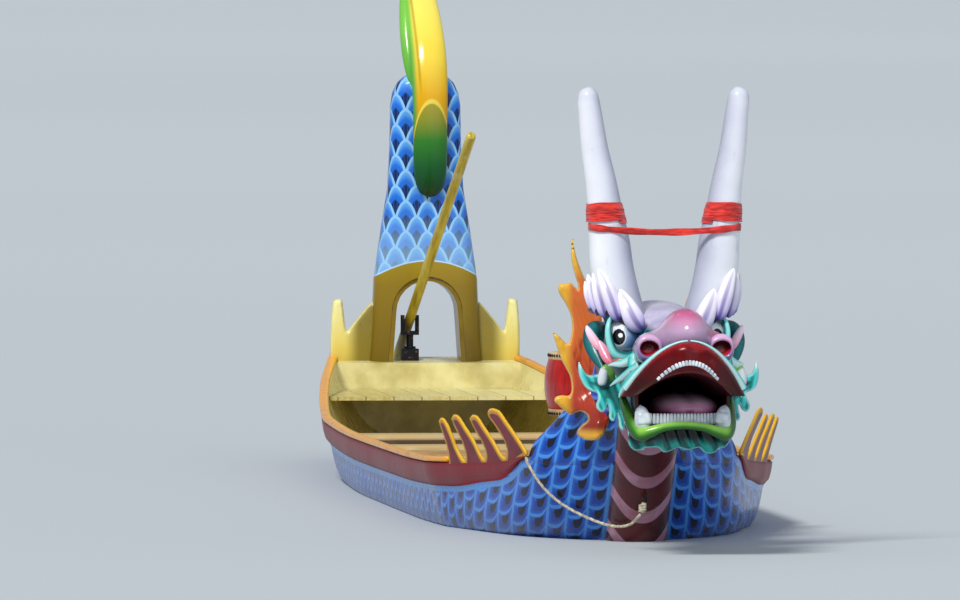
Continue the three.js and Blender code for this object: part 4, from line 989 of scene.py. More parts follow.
# A mark at each point: 0 on the outside, rising over the rolled front, and 2 in the opening.
lip_mark = np.concatenate([np.zeros(LIP_RINGS), np.linspace(0.05, 0.95, LIP_ROLL), np.full(LIP_RINGS, 2.0)])
lip_values = np.concatenate([np.tile(lip_mark, LIP_ACROSS), [0.5, 0.5]])
upper_lip = mesh_piece("lip_upper", *grid_parts(to_frame(lip_section)), values={"face": lip_values}, sharp=60)
paint = Paint("lip_red")
x, y, z = paint.place()
face = paint.value("face")
streak = paint.noise(30.0, detail=2.0, stretch=(1, 1, 0.3))
gleam = paint.noise(9.0, detail=3.0, stretch=(0.35, 1, 1)).step(0.56, 0.66)
dark_red = paint.mix(streak, "6e050c", "4a0408")
dark_red = paint.mix(gleam * 0.5, dark_red, "a83038")
red = paint.mix(face.step(0.02, 0.30), "a80e14", dark_red)
red = paint.mix(face.step(0.85, 1.2), red, "38070c")
# Darker towards the sides of the lip's arch: painted shade.
red = paint.mix((x.abs() - 0.10).step(0.0, 0.13) * 0.7, red, "2c0508")
cheek = face.step(0.02, 0.0) * (y - BOW_Y + 2.0 - x.abs() * 0.8).step(-0.06, -0.03)
speckle = paint.noise(10.0, detail=1.0).step(0.50, 0.62)
red = paint.mix(cheek, red, paint.mix(speckle, DARK_TEAL, "1f8a8a"))
ridges = (face * 25.0).wave() * face.step(0.0, 0.1) * face.step(1.0, 0.9)
lip_finish = gloss_paint(paint, red, 0.2, coat=0.06, shine=0.18, under=paint.bump(ridges, 0.002, 0.5))
place_piece(upper_lip, lip_finish, "lip", "upper_lip")

# %% Mouth lining
# Columns: aft, half-breadth, z of the bottom and the top of the space inside the mouth.
MOUTH_ROWS = [
    (-1.845, 0.196, 0.566, 0.868), (-1.700, 0.194, 0.570, 0.848), (-1.550, 0.180, 0.580, 0.815),
    (-1.400, 0.150, 0.600, 0.780), (-1.280, 0.100, 0.630, 0.740), (-1.230, 0.030, 0.670, 0.700),
]
# What the lining's outside adds to the columns of its inside, and how far its lowest place goes below that.
LINING_WALL, LINING_SOLE = (0.012, 0.016, -0.010, 0.010), 0.004
LINING_RINGS, LINING_SIDES = 30, 56
cavity = oval_loft(MOUTH_ROWS, LINING_RINGS, LINING_SIDES, 0.7)
bulk = oval_loft(np.array(MOUTH_ROWS) + LINING_WALL, LINING_RINGS, LINING_SIDES, 0.7)
bulk[0, :, 1] = cavity[0, :, 1]
bulk[..., 2] = np.maximum(bulk[..., 2], cavity[..., 2].min() - LINING_SOLE)
lining_points = np.concatenate([cavity[::-1], bulk])
lining_values = np.repeat(np.repeat([0.0, 1.0], LINING_RINGS), LINING_SIDES)
lining = mesh_piece(
    "mouth_lining", *grid_parts(lining_points), values={"skin": np.concatenate([lining_values, [0, 1]])},
)
paint = Paint("mouth_dark", Coat_Weight=0.2)
skin = paint.value("skin").step(0.4, 0.6) * paint.place()[1].step(BOW_Y - 1.74, BOW_Y - 1.70)
fold = paint.noise(14.0, detail=3.0)
inside_red = paint.mix(fold, "3c080e", "1c0408")
place_piece(lining, gloss_paint(paint, paint.mix(skin, inside_red, DARK_TEAL), 0.35), "lip")
print("skull, jaw and lip made")

# %% [markdown]
# ## Teeth and tongue
# Each tooth is its own small block, rounded by a power of the cosine and sine in both directions, and set
# along a curve that follows the lip. Many small blocks in one piece look right up close, where a single
# notched bar would not.

# %% Teeth
def tooth_blocks(places, sizes, tilts, rings=8, sides=14, power=0.45):
    """Rounded blocks: half-sizes times powers of cosines, turned by tilt in the plane across the boat."""
    lat = np.linspace(-np.pi / 2, np.pi / 2, rings)[:, None]
    lon = full_turn(sides)
    ring, ahead, side = (blunt_wave(wave, power) for wave in (np.cos(lat), np.cos(lon), np.sin(lon)))
    block = np.stack([ring * ahead, ring * side, blunt_wave(np.sin(lat), power) * np.ones_like(lon)], -1)
    parts = []
    for place, size, tilt in zip(places, sizes, tilts):
        shaped = block * np.asarray(size) / 2
        shaped[..., 0] *= 1 - 0.16 * shaped[..., 2] / size[2]
        x = shaped[..., 0] * np.cos(tilt) - shaped[..., 2] * np.sin(tilt)
        z = shaped[..., 0] * np.sin(tilt) + shaped[..., 2] * np.cos(tilt)
        parts.append(grid_parts(to_frame(np.stack([x, shaped[..., 1], z], -1) + np.asarray(place))))
    return parts


UPPER_TOOTH = {"count": 19, "half": 0.128, "crown": 0.869, "drop": 0.070, "aft": -2.127, "back": 0.090}
upper_x = np.linspace(-1, 1, UPPER_TOOTH["count"])
upper_place = np.column_stack([
    upper_x * UPPER_TOOTH["half"], UPPER_TOOTH["aft"] + UPPER_TOOTH["back"] * upper_x**2,
    UPPER_TOOTH["crown"] - UPPER_TOOTH["drop"] * upper_x**2,
])
upper_tilt = np.arctan(-2 * UPPER_TOOTH["drop"] / UPPER_TOOTH["half"] * upper_x)
upper_size = [
    (0.0138 * math.hypot(1, math.tan(tilt)), 0.018, 0.024 - 0.010 * abs(share) ** 3)
    for share, tilt in zip(upper_x, upper_tilt)
]
upper_teeth = mesh_piece("teeth_upper", *joined(tooth_blocks(upper_place, upper_size, upper_tilt)))

LOWER_TOOTH = {"count": 20, "half": 0.141, "aft": -1.872, "bend": 1.35, "z": 0.614}
LOWER_TOOTH_SIZE = (0.0142, 0.016, 0.050)
lower_x = np.linspace(-LOWER_TOOTH["half"], LOWER_TOOTH["half"], LOWER_TOOTH["count"])
lower_aft = LOWER_TOOTH["aft"] + LOWER_TOOTH["bend"] * lower_x**2
lower_place = np.column_stack([lower_x, lower_aft, np.full_like(lower_x, LOWER_TOOTH["z"])])
lower_parts = tooth_blocks(lower_place, [LOWER_TOOTH_SIZE] * len(lower_x), np.zeros_like(lower_x))
CANINE_ROWS = [
    (-0.176, -1.846, 0.574, 0.031), (-0.178, -1.846, 0.600, 0.035), (-0.180, -1.846, 0.628, 0.033),
    (-0.186, -1.846, 0.652, 0.026), (-0.192, -1.846, 0.668, 0.012), (-0.194, -1.846, 0.671, 0.003),
]
canine = limb_points(CANINE_ROWS, 26, 20, flat=0.55)
lower_parts += [grid_parts(canine), grid_parts(mirrored(canine))]
CORNER_TEETH = [(-0.172, -1.850, 0.616), (0.172, -1.850, 0.616)]
CORNER_TOOTH_SIZE = (0.062, 0.040, 0.056)
lower_parts += tooth_blocks(CORNER_TEETH, [CORNER_TOOTH_SIZE] * 2, [0.1, -0.1])
lower_teeth = mesh_piece("teeth_lower", *joined(lower_parts))

paint = Paint("tooth_white")
stain = paint.noise(22.0, detail=4.0)
tooth = paint.ramp(stain, (0.30, "a9b2bc"), (0.55, "d4dbe2"), (0.75, "eef2f4"))
tooth_white = gloss_paint(paint, tooth, 0.25, coat=0.4)
place_piece(upper_teeth, tooth_white, "teeth", "upper_teeth")
place_piece(lower_teeth, tooth_white, "teeth", "lower_teeth")

# %% Tongue
TONGUE = {"x": 0.032, "z": 0.642, "aft": -1.570, "wide": 0.152, "tall": 0.080, "long": 0.282}
FURROW_DEEP, FURROW_WIDE = 0.010, 0.022
tongue_lat = np.linspace(-np.pi / 2, np.pi / 2, 40)[:, None]
tongue_turn = full_turn(56)
flatness = blunt_wave(np.sin(tongue_turn), 0.8)
ring_size = np.cos(tongue_lat) ** 0.6
tongue_x = TONGUE["wide"] * ring_size * np.cos(tongue_turn)
tongue_z = TONGUE["z"] + TONGUE["tall"] * ring_size * flatness
furrow = FURROW_DEEP * np.exp(-((tongue_x / FURROW_WIDE) ** 2)) * (flatness > 0) * ring_size
tongue_aft = TONGUE["aft"] + TONGUE["long"] * np.sin(tongue_lat) * np.ones_like(tongue_turn)
tongue_rings = to_frame(np.stack([tongue_x + TONGUE["x"], tongue_aft, tongue_z - furrow], -1))
tongue = mesh_piece("tongue_form", *grid_parts(tongue_rings))
paint = Paint("tongue_mauve")
x, y, z = paint.place()
# Pale on top and darker lower down: painted light and shade.
height = z + 0.02 * paint.noise(12.0)
tongue_colour = paint.ramp(height, (0.650, "883858"), (0.675, "c484a6"), (0.705, "f0c8dc"))
place_piece(tongue, gloss_paint(paint, tongue_colour, 0.25, coat=0.5), "tongue", "tongue")
print("teeth and tongue made")

# %% [markdown]
# ## Nose and nostrils
# The nose is one broad mound with a flared ring at each end. The mound is a row of ovals across the head,
# whose tops and fronts are typed. A nostril is one profile turned round its own axis and squeezed to an
# oval: down into the hole, over the rolled rim and back to the cheek. That gives a real hole with a soft
# edge, where a cut would leave a sharp one.

# %% Nose
# Columns: radius and distance ahead of the rim, as shares of the rim's half-breadth.
NOSTRIL_PROFILE = np.array([
    (0.00, -1.00), (0.40, -0.95), (0.64, -0.60), (0.70, -0.25), (0.76, -0.04), (0.85, 0.04), (0.96, -0.04),
    (1.05, -0.30), (1.10, -0.80), (1.08, -1.60), (0.96, -2.60), (0.66, -3.60), (0.28, -4.10), (0.0, -4.20),
])
NOSTRIL = {
    "x": 0.1640, "aft": -1.965, "z": 0.928, "half": 0.0525, "tall": 1.15, "hole_tall": 0.86, "inward": 0.24,
}
# Columns: x, then the z of the top and the aft of the front.
NOSE_ROWS = np.array([
    (-0.206, 0.938, -1.900), (-0.192, 0.968, -1.901), (-0.164, 0.988, -1.902), (-0.128, 1.000, -1.908),
    (-0.098, 1.022, -1.955), (-0.070, 1.060, -2.005), (-0.035, 1.090, -2.040), (0.012, 1.101, -2.056),
    (0.055, 1.088, -2.040), (0.090, 1.056, -2.005), (0.115, 1.024, -1.955), (0.138, 1.004, -1.908),
    (0.166, 0.990, -1.902), (0.192, 0.968, -1.901), (0.206, 0.938, -1.900),
])
NOSE_LOW, NOSE_BACK = 0.876, -1.690
NOSTRIL_RINGS, NOSTRIL_SIDES = 58, 48


def nostril_points(side):
    """The profile turned round an axis that points ahead: x by the cosine, stretched towards the middle,
    and z by the sine, flatter in the hole than outside it."""
    profile = smooth(NOSTRIL_PROFILE, NOSTRIL_RINGS + 2)[1:-1, None] * NOSTRIL["half"]
    tall = np.interp(profile[..., 0] / NOSTRIL["half"], (0.76, 1.05), (NOSTRIL["hole_tall"], NOSTRIL["tall"]))
    turn = full_turn(NOSTRIL_SIDES)
    inward = 1 + NOSTRIL["inward"] * (1 - np.cos(turn)) / 2
    x = profile[..., 0] * np.cos(turn) * 0.96 * inward + profile[..., 1] * 0.05
    z = profile[..., 0] * np.sin(turn) * tall + profile[..., 1] * 0.10
    aft = np.broadcast_to(-profile[..., 1], x.shape)
    return to_frame(np.stack([side * (NOSTRIL["x"] + x), NOSTRIL["aft"] + aft, NOSTRIL["z"] + z], -1))


def mound_points(rings=90, sides=48):
    """Ovals in planes along the boat: z from the typed top down to the foot, aft from the typed front to
    the back."""
    row = smooth(NOSE_ROWS, rings)[:, None]
    turn = np.linspace(2 * np.pi, 0, sides, endpoint=False)[None]
    z = (row[..., 1] + NOSE_LOW) / 2 + (row[..., 1] - NOSE_LOW) / 2 * np.cos(turn)
    aft = (row[..., 2] + NOSE_BACK) / 2 + (NOSE_BACK - row[..., 2]) / 2 * np.sin(turn)
    return to_frame(np.stack([np.broadcast_to(row[..., 0], z.shape), aft, z], -1))


def egg_points(centre, half, rings, sides):
    """An egg: half-axes times cosines and sines of two angles, with its poles ahead and astern."""
    lat = np.linspace(-np.pi / 2, np.pi / 2, rings)[1:-1, None]
    turn = full_turn(sides)
    ring = np.cos(lat)
    x = half[0] * ring * np.cos(turn)
    z = half[2] * ring * np.sin(turn)
    aft = np.broadcast_to(half[1] * np.sin(lat), x.shape)
    return to_frame(np.stack([x, aft, z], -1) + np.asarray(centre))


nose_parts = [grid_parts(rings) for rings in (nostril_points(-1), nostril_points(1)[:, ::-1], mound_points())]
# A mark at each point: from 0 in the hole to 1 behind the rim, and -1 on the mound.
profile_run = np.repeat(np.linspace(0, 1, NOSTRIL_RINGS), NOSTRIL_SIDES)
hole_mark = np.concatenate([profile_run, [0, 1], profile_run, [0, 1], np.full(len(nose_parts[2][0]), -1.0)])
nose = mesh_piece("nose_form", *joined(nose_parts), values={"hole": hole_mark})
paint = Paint("nose_pink")
x, y, z = paint.place()
hole = paint.value("hole")
cloud = paint.noise(8.0, detail=2.0)
lilac = paint.ramp(z + 0.03 * cloud, (0.87, "4c4a80"), (0.93, "8c78a8"), (0.985, "d0a8cc"))
# In each hole the upper part is dark maroon, painted shade under the rim, and the lower part red.
shaded_pit = paint.mix((z - 0.915 - 0.01 * cloud).step(0.010, -0.010), "34050e", "c42a3e")
ring_colour = paint.mix(hole.step(0.24, 0.33), shaded_pit, lilac)
crown = paint.ramp((z + 0.03 * cloud) * 0.8, (0.768, "8c7898"), (0.816, "b898b8"),
                   (0.846, "c488ac"), (0.872, "c4608c"), (0.895, "b43c74"))
flush = (((x - 0.135) / 0.050) ** 2 + ((z - 0.996) / 0.030) ** 2).step(1.3, 0.2)
crown = paint.mix(flush * 0.8, crown, "b42a64")
nose_colour = paint.mix(hole.step(-0.2, -0.1), crown, ring_colour)
place_piece(nose, gloss_paint(paint, nose_colour, 0.2, coat=0.35), "nose", "nose")
print("nose:", len(nose.data.polygons), "faces")

# %% [markdown]
# ## Eyes
# Each eye is a globe with everything painted on it: a black pupil ringed in white, a white dot that is a
# painted highlight, and white that turns blue towards the nose. The painting is arithmetic on the distance
# from the pupil's middle. The lid is a roll of wood round the globe's lower and outer side, thickest below.

# %% Eyes and lids
EYE_MIDDLE, EYE_RADIUS = (-0.184, -1.225, 0.956), 0.079
# Middles as distance from the boat's middle plane and z, then half-axes.
PUPIL, HIGHLIGHT_DOT = ((0.219, 0.957), (0.027, 0.036)), ((0.213, 0.964), (0.010, 0.010))


def oval_distance(across, up, middle, half):
    """How far out from an oval's middle a place lies: 1 on the oval itself."""
    return (((across - middle[0]) / half[0]) ** 2 + ((up - middle[1]) / half[1]) ** 2).sqrt()


eye_half = (EYE_RADIUS * 0.98, EYE_RADIUS, EYE_RADIUS * 1.02)
eyes = pair(grid_parts(egg_points(EYE_MIDDLE, eye_half, 40, 48)), "globe")
paint = Paint("eye_paint")
x, y, z = paint.place()
out = x.abs()
ahead = y.step(BOW_Y + EYE_MIDDLE[1] - 0.005, BOW_Y + EYE_MIDDLE[1] - 0.015)
pupil = oval_distance(out, z, *PUPIL)
highlight_dot = oval_distance(out, z, *HIGHLIGHT_DOT)
shade = paint.ramp(
    out + 0.35 * (z - 0.956) + 0.006 * paint.noise(20.0), (0.125, "1c3c74"), (0.165, "5c7cae"),
    (0.198, "a8bcd8"), (0.225, "f2f6fa"),
)
rim_glow = (z - 0.902).abs().step(0.010, 0.002) * out.step(0.15, 0.17)
white = paint.mix(rim_glow * 0.7, shade, "d8e4ee")
ring = pupil.step(1.22, 1.14) * ahead
iris = paint.mix(ring, white, "e8ecf0")
iris = paint.mix(pupil.step(1.02, 0.96) * ahead, iris, (0.004, 0.004, 0.006))
# The white dot is a painted highlight.
iris = paint.mix(highlight_dot.step(1.1, 0.9) * ahead, iris, "ffffff")
finish_pair(eyes, gloss_paint(paint, iris, 0.12, coat=0.5, brush=0.0002, uneven=0.1), "eye", "eye")

LID_ROWS = [
    (-0.244, -1.245, 1.048, 0.008), (-0.259, -1.262, 1.018, 0.013), (-0.264, -1.276, 0.975, 0.016),
    (-0.256, -1.288, 0.925, 0.018), (-0.234, -1.296, 0.885, 0.021), (-0.190, -1.298, 0.870, 0.022),
    (-0.150, -1.292, 0.884, 0.016), (-0.124, -1.280, 0.906, 0.006),
]
LENS_ROWS = [
    (-0.250, -1.302, 0.852, 0.004), (-0.225, -1.306, 0.850, 0.012), (-0.195, -1.308, 0.856, 0.014),
    (-0.165, -1.306, 0.868, 0.010), (-0.148, -1.302, 0.878, 0.003),
]
lids = limb_pair("eyelid", LID_ROWS, 54, 22)
lenses = limb_pair("under_eye", LENS_ROWS, 26, 14)
paint = Paint("lid_teal")
u, v = paint.uv()
gleam = (v * 2 * math.pi + 0.6).wave().step(0.45, 0.9)
lid_colour = paint.mix(gleam, "14686e", "8ce0dc")
finish_pair(lids, gloss_paint(paint, lid_colour, 0.22), "lid", "lid")
paint = Paint("lens_salmon")
salmon = gloss_paint(paint, paint.mix(paint.noise(12.0), "d86a66", "b04444"), 0.25)
finish_pair(lenses, salmon, "ear")

# %% [markdown]
# ## Brows
# Over each eye a dark violet roll, darkened to near black as painted shade under the petals, carries five
# blunt petals that sweep up and outwards. A petal is a flattened limb: an oval carried along a smooth path
# of a few typed rows. White at the tip and violet at the root, deepening to painted shade where the petals
# meet, with a dark line of painted shade down each side where it overlaps the next.

# %% Brows
# Rows of x, aft, z and radius.
PETALS = [
    [(-0.112, -1.312, 0.988, 0.012), (-0.132, -1.318, 1.004, 0.036), (-0.154, -1.318, 1.034, 0.046),
     (-0.172, -1.306, 1.072, 0.043), (-0.190, -1.288, 1.114, 0.033), (-0.204, -1.270, 1.150, 0.018),
     (-0.210, -1.264, 1.168, 0.004)],
    [(-0.218, -1.282, 1.030, 0.012), (-0.229, -1.286, 1.052, 0.028), (-0.244, -1.278, 1.100, 0.035),
     (-0.262, -1.262, 1.154, 0.034), (-0.282, -1.240, 1.206, 0.025), (-0.297, -1.220, 1.242, 0.014),
     (-0.303, -1.214, 1.256, 0.004)],
    [(-0.268, -1.226, 1.042, 0.012), (-0.278, -1.224, 1.066, 0.025), (-0.291, -1.212, 1.114, 0.030),
     (-0.303, -1.198, 1.166, 0.027), (-0.314, -1.182, 1.214, 0.016), (-0.320, -1.176, 1.240, 0.004)],
    [(-0.294, -1.172, 1.050, 0.012), (-0.303, -1.166, 1.080, 0.023), (-0.316, -1.152, 1.128, 0.026),
     (-0.328, -1.138, 1.178, 0.020), (-0.336, -1.126, 1.214, 0.011), (-0.340, -1.120, 1.230, 0.003)],
    [(-0.308, -1.114, 1.060, 0.012), (-0.320, -1.100, 1.096, 0.020), (-0.332, -1.088, 1.140, 0.021),
     (-0.341, -1.076, 1.176, 0.013), (-0.346, -1.070, 1.198, 0.003)],
]
BROW_ROWS = [
    (-0.104, -1.290, 0.980, 0.005), (-0.134, -1.292, 0.996, 0.016), (-0.175, -1.284, 1.022, 0.022),
    (-0.225, -1.254, 1.050, 0.022), (-0.268, -1.214, 1.064, 0.020), (-0.305, -1.152, 1.070, 0.018),
    (-0.326, -1.082, 1.070, 0.010),
]
petals = joined([grid_parts(limb_points(rows, 34, 20, flat=0.62)) for rows in PETALS])
petal_pieces = pair(petals, "petals")
rolls = limb_pair("brow_roll", BROW_ROWS, 40, 20)
paint = Paint("petal_white")
u, v = paint.uv()
# A dark line of painted shade down each side, where the petal overlaps the next.
overlap_shade_line = (v * 2 * math.pi).sin().abs().step(0.42, 0.12)
# Violet at the root, deepening to painted shade where the petals meet, and white at the tip.
petal = paint.ramp(
    u + 0.12 * paint.noise(10.0) - 0.06, (0.0, "2a2058"), (0.10, "7a6cb8"), (0.28, "cfc4e8"),
    (0.55, "f0eaf8"), (1.0, "ffffff"),
)
petal = paint.mix(overlap_shade_line * 0.8 * (1.15 - u), petal, "4a3e8c")
finish_pair(petal_pieces, gloss_paint(paint, petal, 0.25), "petal", "brow")
paint = Paint("brow_violet")
# The roll is dark violet darkened to near black: painted shade under the petals.
shaded_violet = paint.mix(paint.noise(14.0), "0c0a20", "241c4c")
shaded_violet = gloss_paint(paint, shaded_violet, 0.3)
finish_pair(rolls, shaded_violet, "petal")

# %% [markdown]
# ## Ears, tusks and cheek flames
# The ear is a pink ridge that curls down to a lobe, in front of a teal shell. Three aqua flames sweep back
# from the cheek and a band of the same colour runs up along the lip, thinning to a line at the top. All
# are limbs.

# %% Ears
EAR_RIDGE = [
    (-0.347, -1.150, 1.003, 0.004), (-0.341, -1.155, 0.984, 0.014), (-0.326, -1.165, 0.955, 0.019),
    (-0.308, -1.180, 0.925, 0.020), (-0.294, -1.195, 0.905, 0.016), (-0.286, -1.205, 0.888, 0.006),
]
EAR_LOBE = [
    (-0.300, -1.205, 0.936, 0.008), (-0.286, -1.215, 0.908, 0.020), (-0.271, -1.235, 0.874, 0.024),
    (-0.256, -1.255, 0.846, 0.018), (-0.238, -1.265, 0.838, 0.007),
]
EAR_SHELL = [
    (-0.262, -1.020, 0.985, 0.030), (-0.300, -1.080, 0.975, 0.048), (-0.316, -1.130, 0.935, 0.046),
    (-0.306, -1.165, 0.885, 0.040), (-0.290, -1.200, 0.840, 0.026), (-0.280, -1.230, 0.808, 0.008),
]
ear_parts = joined([
    grid_parts(limb_points(EAR_RIDGE, 32, 18, flat=0.6)), grid_parts(limb_points(EAR_LOBE, 28, 18, flat=0.6)),
])
ears = pair(ear_parts, "ear_ridge")
shells = limb_pair("ear_shell", EAR_SHELL, 40, 24, 0.7)
paint = Paint("ear_pink")
x, y, z = paint.place()
pink = paint.ramp(z + 0.02 * paint.noise(12.0), (0.84, "e86c84"), (0.92, "f0a0b8"), (0.985, "f6dcec"))
finish_pair(ears, gloss_paint(paint, pink, 0.25), "ear", "ear")
paint = Paint("ear_teal")
u, v = paint.uv()
shell_colour = paint.mix((v * 6 * math.pi).wave(), "0a3438", "1c7478")
shell_teal = gloss_paint(paint, shell_colour, 0.28)
finish_pair(shells, shell_teal, "skull")

# %% Cheek flames and tusks
FLAMES = [
    [(-0.165, -1.790, 0.880, 0.020), (-0.192, -1.760, 0.882, 0.027), (-0.222, -1.720, 0.866, 0.023),
     (-0.250, -1.680, 0.853, 0.018), (-0.278, -1.630, 0.848, 0.011), (-0.300, -1.590, 0.842, 0.003)],
    [(-0.186, -1.800, 0.846, 0.022), (-0.210, -1.770, 0.828, 0.021), (-0.236, -1.730, 0.806, 0.017),
     (-0.262, -1.690, 0.784, 0.012), (-0.284, -1.660, 0.766, 0.007), (-0.299, -1.640, 0.752, 0.002)],
    [(-0.186, -1.850, 0.826, 0.020), (-0.210, -1.830, 0.806, 0.022), (-0.234, -1.805, 0.776, 0.020),
     (-0.254, -1.780, 0.745, 0.015), (-0.266, -1.765, 0.722, 0.009), (-0.272, -1.755, 0.704, 0.002)],
]
CHEEK_ROWS = [
    (-0.150, -1.760, 0.900, 0.014), (-0.176, -1.745, 0.886, 0.038), (-0.192, -1.745, 0.856, 0.042),
    (-0.200, -1.765, 0.826, 0.030), (-0.206, -1.790, 0.800, 0.010),
]
LIP_BAND = {"reach": 0.276, "off": 0.004, "aft": -1.862, "foot": 0.716, "rise": 0.245}
share = -np.linspace(0.02, 0.93, 26)
arch = 1 - share**2
band_rows = np.column_stack([
    (LIP_BAND["reach"] + LIP_BAND["off"]) * share, LIP_BAND["aft"] - SNOUT_LEAD * arch,
    LIP_BAND["foot"] + LIP_BAND["rise"] * arch + LIP_BAND["off"], 0.0035 + 0.0165 * np.abs(share) ** 1.6,
])
flame_parts = joined(
    [grid_parts(limb_points(rows, 34, 18, flat=0.7)) for rows in FLAMES]
    + [grid_parts(limb_points(CHEEK_ROWS, 26, 20, flat=0.7)), grid_parts(limb_points(band_rows, 70, 14))],
)
flames = pair(flame_parts, "flames")
paint = Paint("flame_aqua")
u, v = paint.uv()
# Round each flame one side is pale aqua to white and the other deep teal: painted light and shade.
painted_shading = (v * 2 * math.pi + 2.2).wave()
aqua = paint.ramp(
    painted_shading + 0.25 * (paint.noise(18.0) - 0.5), (0.05, "06504e"), (0.30, "1fa09c"),
    (0.55, "68dcd8"), (0.85, "d8faf6"),
)
finish_pair(flames, gloss_paint(paint, aqua, 0.22), "tuft", "cheek_tuft")

TUSK_ROWS = [
    (-0.262, -1.430, 0.770, 0.012), (-0.276, -1.440, 0.800, 0.022), (-0.295, -1.450, 0.822, 0.020),
    (-0.306, -1.450, 0.800, 0.021), (-0.311, -1.450, 0.772, 0.022), (-0.313, -1.450, 0.753, 0.017),
    (-0.313, -1.450, 0.747, 0.004),
]
tusks = limb_pair("tusk_form", TUSK_ROWS, 34, 18)
paint = Paint("tusk_white")
u, v = paint.uv()
tusk = paint.mix((u + 0.06 * paint.noise(20.0)).step(0.46, 0.40), "d4dae0", "6a9c4c")
finish_pair(tusks, gloss_paint(paint, tusk, 0.25), "tusk", "tusk")
print("face finished")

# %% [markdown]
# ## Lower lip, beard and frill
# A green roll runs from each corner of the mouth down to the chin and across it. Below hangs a short
# scalloped beard with upright grooves, and a frill with drips sweeps up each side of the jaw. Both are
# boards cut to an outline, whose thickness swells and dips to make the grooves. The frill is then bent
# along the jaw.

# %% Lower lip
LOWER_LIP_ROWS = [
    (-0.238, -1.540, 0.716, 0.014), (-0.234, -1.640, 0.668, 0.021), (-0.224, -1.745, 0.610, 0.025),
    (-0.208, -1.815, 0.566, 0.030), (-0.184, -1.858, 0.546, 0.033), (-0.150, -1.880, 0.556, 0.027),
    (-0.085, -1.893, 0.577, 0.020), (0.000, -1.897, 0.585, 0.018),
]
port_lip = [(-x, aft, z, radius) for x, aft, z, radius in LOWER_LIP_ROWS[-2::-1]]
lower_lip = mesh_piece("lip_lower", *grid_parts(limb_points(LOWER_LIP_ROWS + port_lip, 120, 24)))
paint = Paint("lip_green")
u, v = paint.uv()
light = (v * 2 * math.pi + 2.9).wave() + 0.2 * (paint.noise(14.0) - 0.5)
green = paint.ramp(light, (0.1, "123408"), (0.55, "2c7416"), (0.97, "90cc50"))
place_piece(lower_lip, gloss_paint(paint, green, 0.2, coat=0.3), "lower_lip", "lower_lip")

# %% Beard
# Columns: x and z.
BEARD_OUTLINE = [
    (-0.232, 0.540), (-0.232, 0.500), (-0.212, 0.476), (-0.190, 0.474), (-0.168, 0.484), (-0.146, 0.486),
    (-0.126, 0.488), (-0.106, 0.486), (-0.092, 0.472), (-0.078, 0.466), (-0.060, 0.470), (-0.044, 0.477),
    (-0.028, 0.486), (-0.013, 0.486), (0.008, 0.479), (0.031, 0.476), (0.053, 0.483), (0.075, 0.485),
    (0.093, 0.468), (0.111, 0.460), (0.130, 0.460), (0.148, 0.466), (0.166, 0.482), (0.188, 0.484),
    (0.206, 0.500), (0.222, 0.530), (0.216, 0.566), (0.140, 0.584), (0.000, 0.592), (-0.140, 0.584),
    (-0.216, 0.566),
]
BEARD_AFT, BEARD_THICK, BEARD_BOW, RIB_PITCH, DRIP_PITCH = -1.850, 0.050, 1.2, 0.068, 0.034


def upright_grooves(x, z, near):
    """Slanting rounded ribs, unevenly spaced, that fade out towards the outline."""
    phase = 2 * np.pi * x / RIB_PITCH + 2.6 * np.sin(14 * x) + 42 * (z - 0.53)
    return 0.0075 * np.sin(phase) * np.clip(near / 0.012, 0, 1)


flat, faces, near = plate_parts(rounded(BEARD_OUTLINE, 240), BEARD_THICK, 0.012, 0.0065, upright_grooves)
beard = mesh_piece("beard_board", across_boat(flat, BEARD_AFT, BEARD_BOW), faces, values={"near": near})
paint = Paint("beard_teal")
x, y, z = paint.place()
ragged = paint.noise(9.0, detail=3.0)
rib = (x * (2 * math.pi / RIB_PITCH) + (ragged - 0.5) * 7.0 + (z - 0.53) * 42.0).wave()
edge = paint.value("near")
beard_colour = paint.mix(rib.step(0.1, 0.9), "084a4a", "158880")
# Near black at the top: painted shade under the green lip.
beard_colour = paint.mix(z.step(0.490, 0.540), beard_colour, "02100f")
beard_colour = paint.mix(edge.step(0.009, 0.003) * z.step(0.53, 0.50) * 0.8, beard_colour, "58c8c0")
place_piece(beard, gloss_paint(paint, beard_colour, 0.25), "beard", "beard")

# %% Jaw frills
# Columns: x and z.
FRILL_OUTLINE = [
    (-0.398, 0.842), (-0.402, 0.800), (-0.394, 0.765), (-0.380, 0.738), (-0.358, 0.722), (-0.332, 0.712),
    (-0.332, 0.690), (-0.342, 0.664), (-0.338, 0.644), (-0.322, 0.632), (-0.304, 0.640), (-0.292, 0.664),
    (-0.288, 0.640), (-0.292, 0.612), (-0.284, 0.596), (-0.270, 0.596), (-0.258, 0.618), (-0.252, 0.600),
    (-0.252, 0.572), (-0.242, 0.556), (-0.229, 0.560), (-0.222, 0.580), (-0.218, 0.560), (-0.216, 0.524),
    (-0.206, 0.508), (-0.193, 0.514), (-0.188, 0.494), (-0.180, 0.474), (-0.150, 0.476), (-0.150, 0.530),
    (-0.180, 0.600), (-0.205, 0.680), (-0.225, 0.760), (-0.250, 0.800), (-0.290, 0.806), (-0.330, 0.792),
    (-0.362, 0.792), (-0.380, 0.815), (-0.390, 0.840),
]
FRILL_THICK = 0.046


def drip_grooves(x, z, near):
    """Ribs that run down and outwards, fading towards the outline."""
    slant = x * 0.55 - z
    return 0.0045 * np.sin(2 * np.pi * (x + 0.35 * z) / DRIP_PITCH + 3 * slant) * np.clip(near / 0.010, 0, 1)


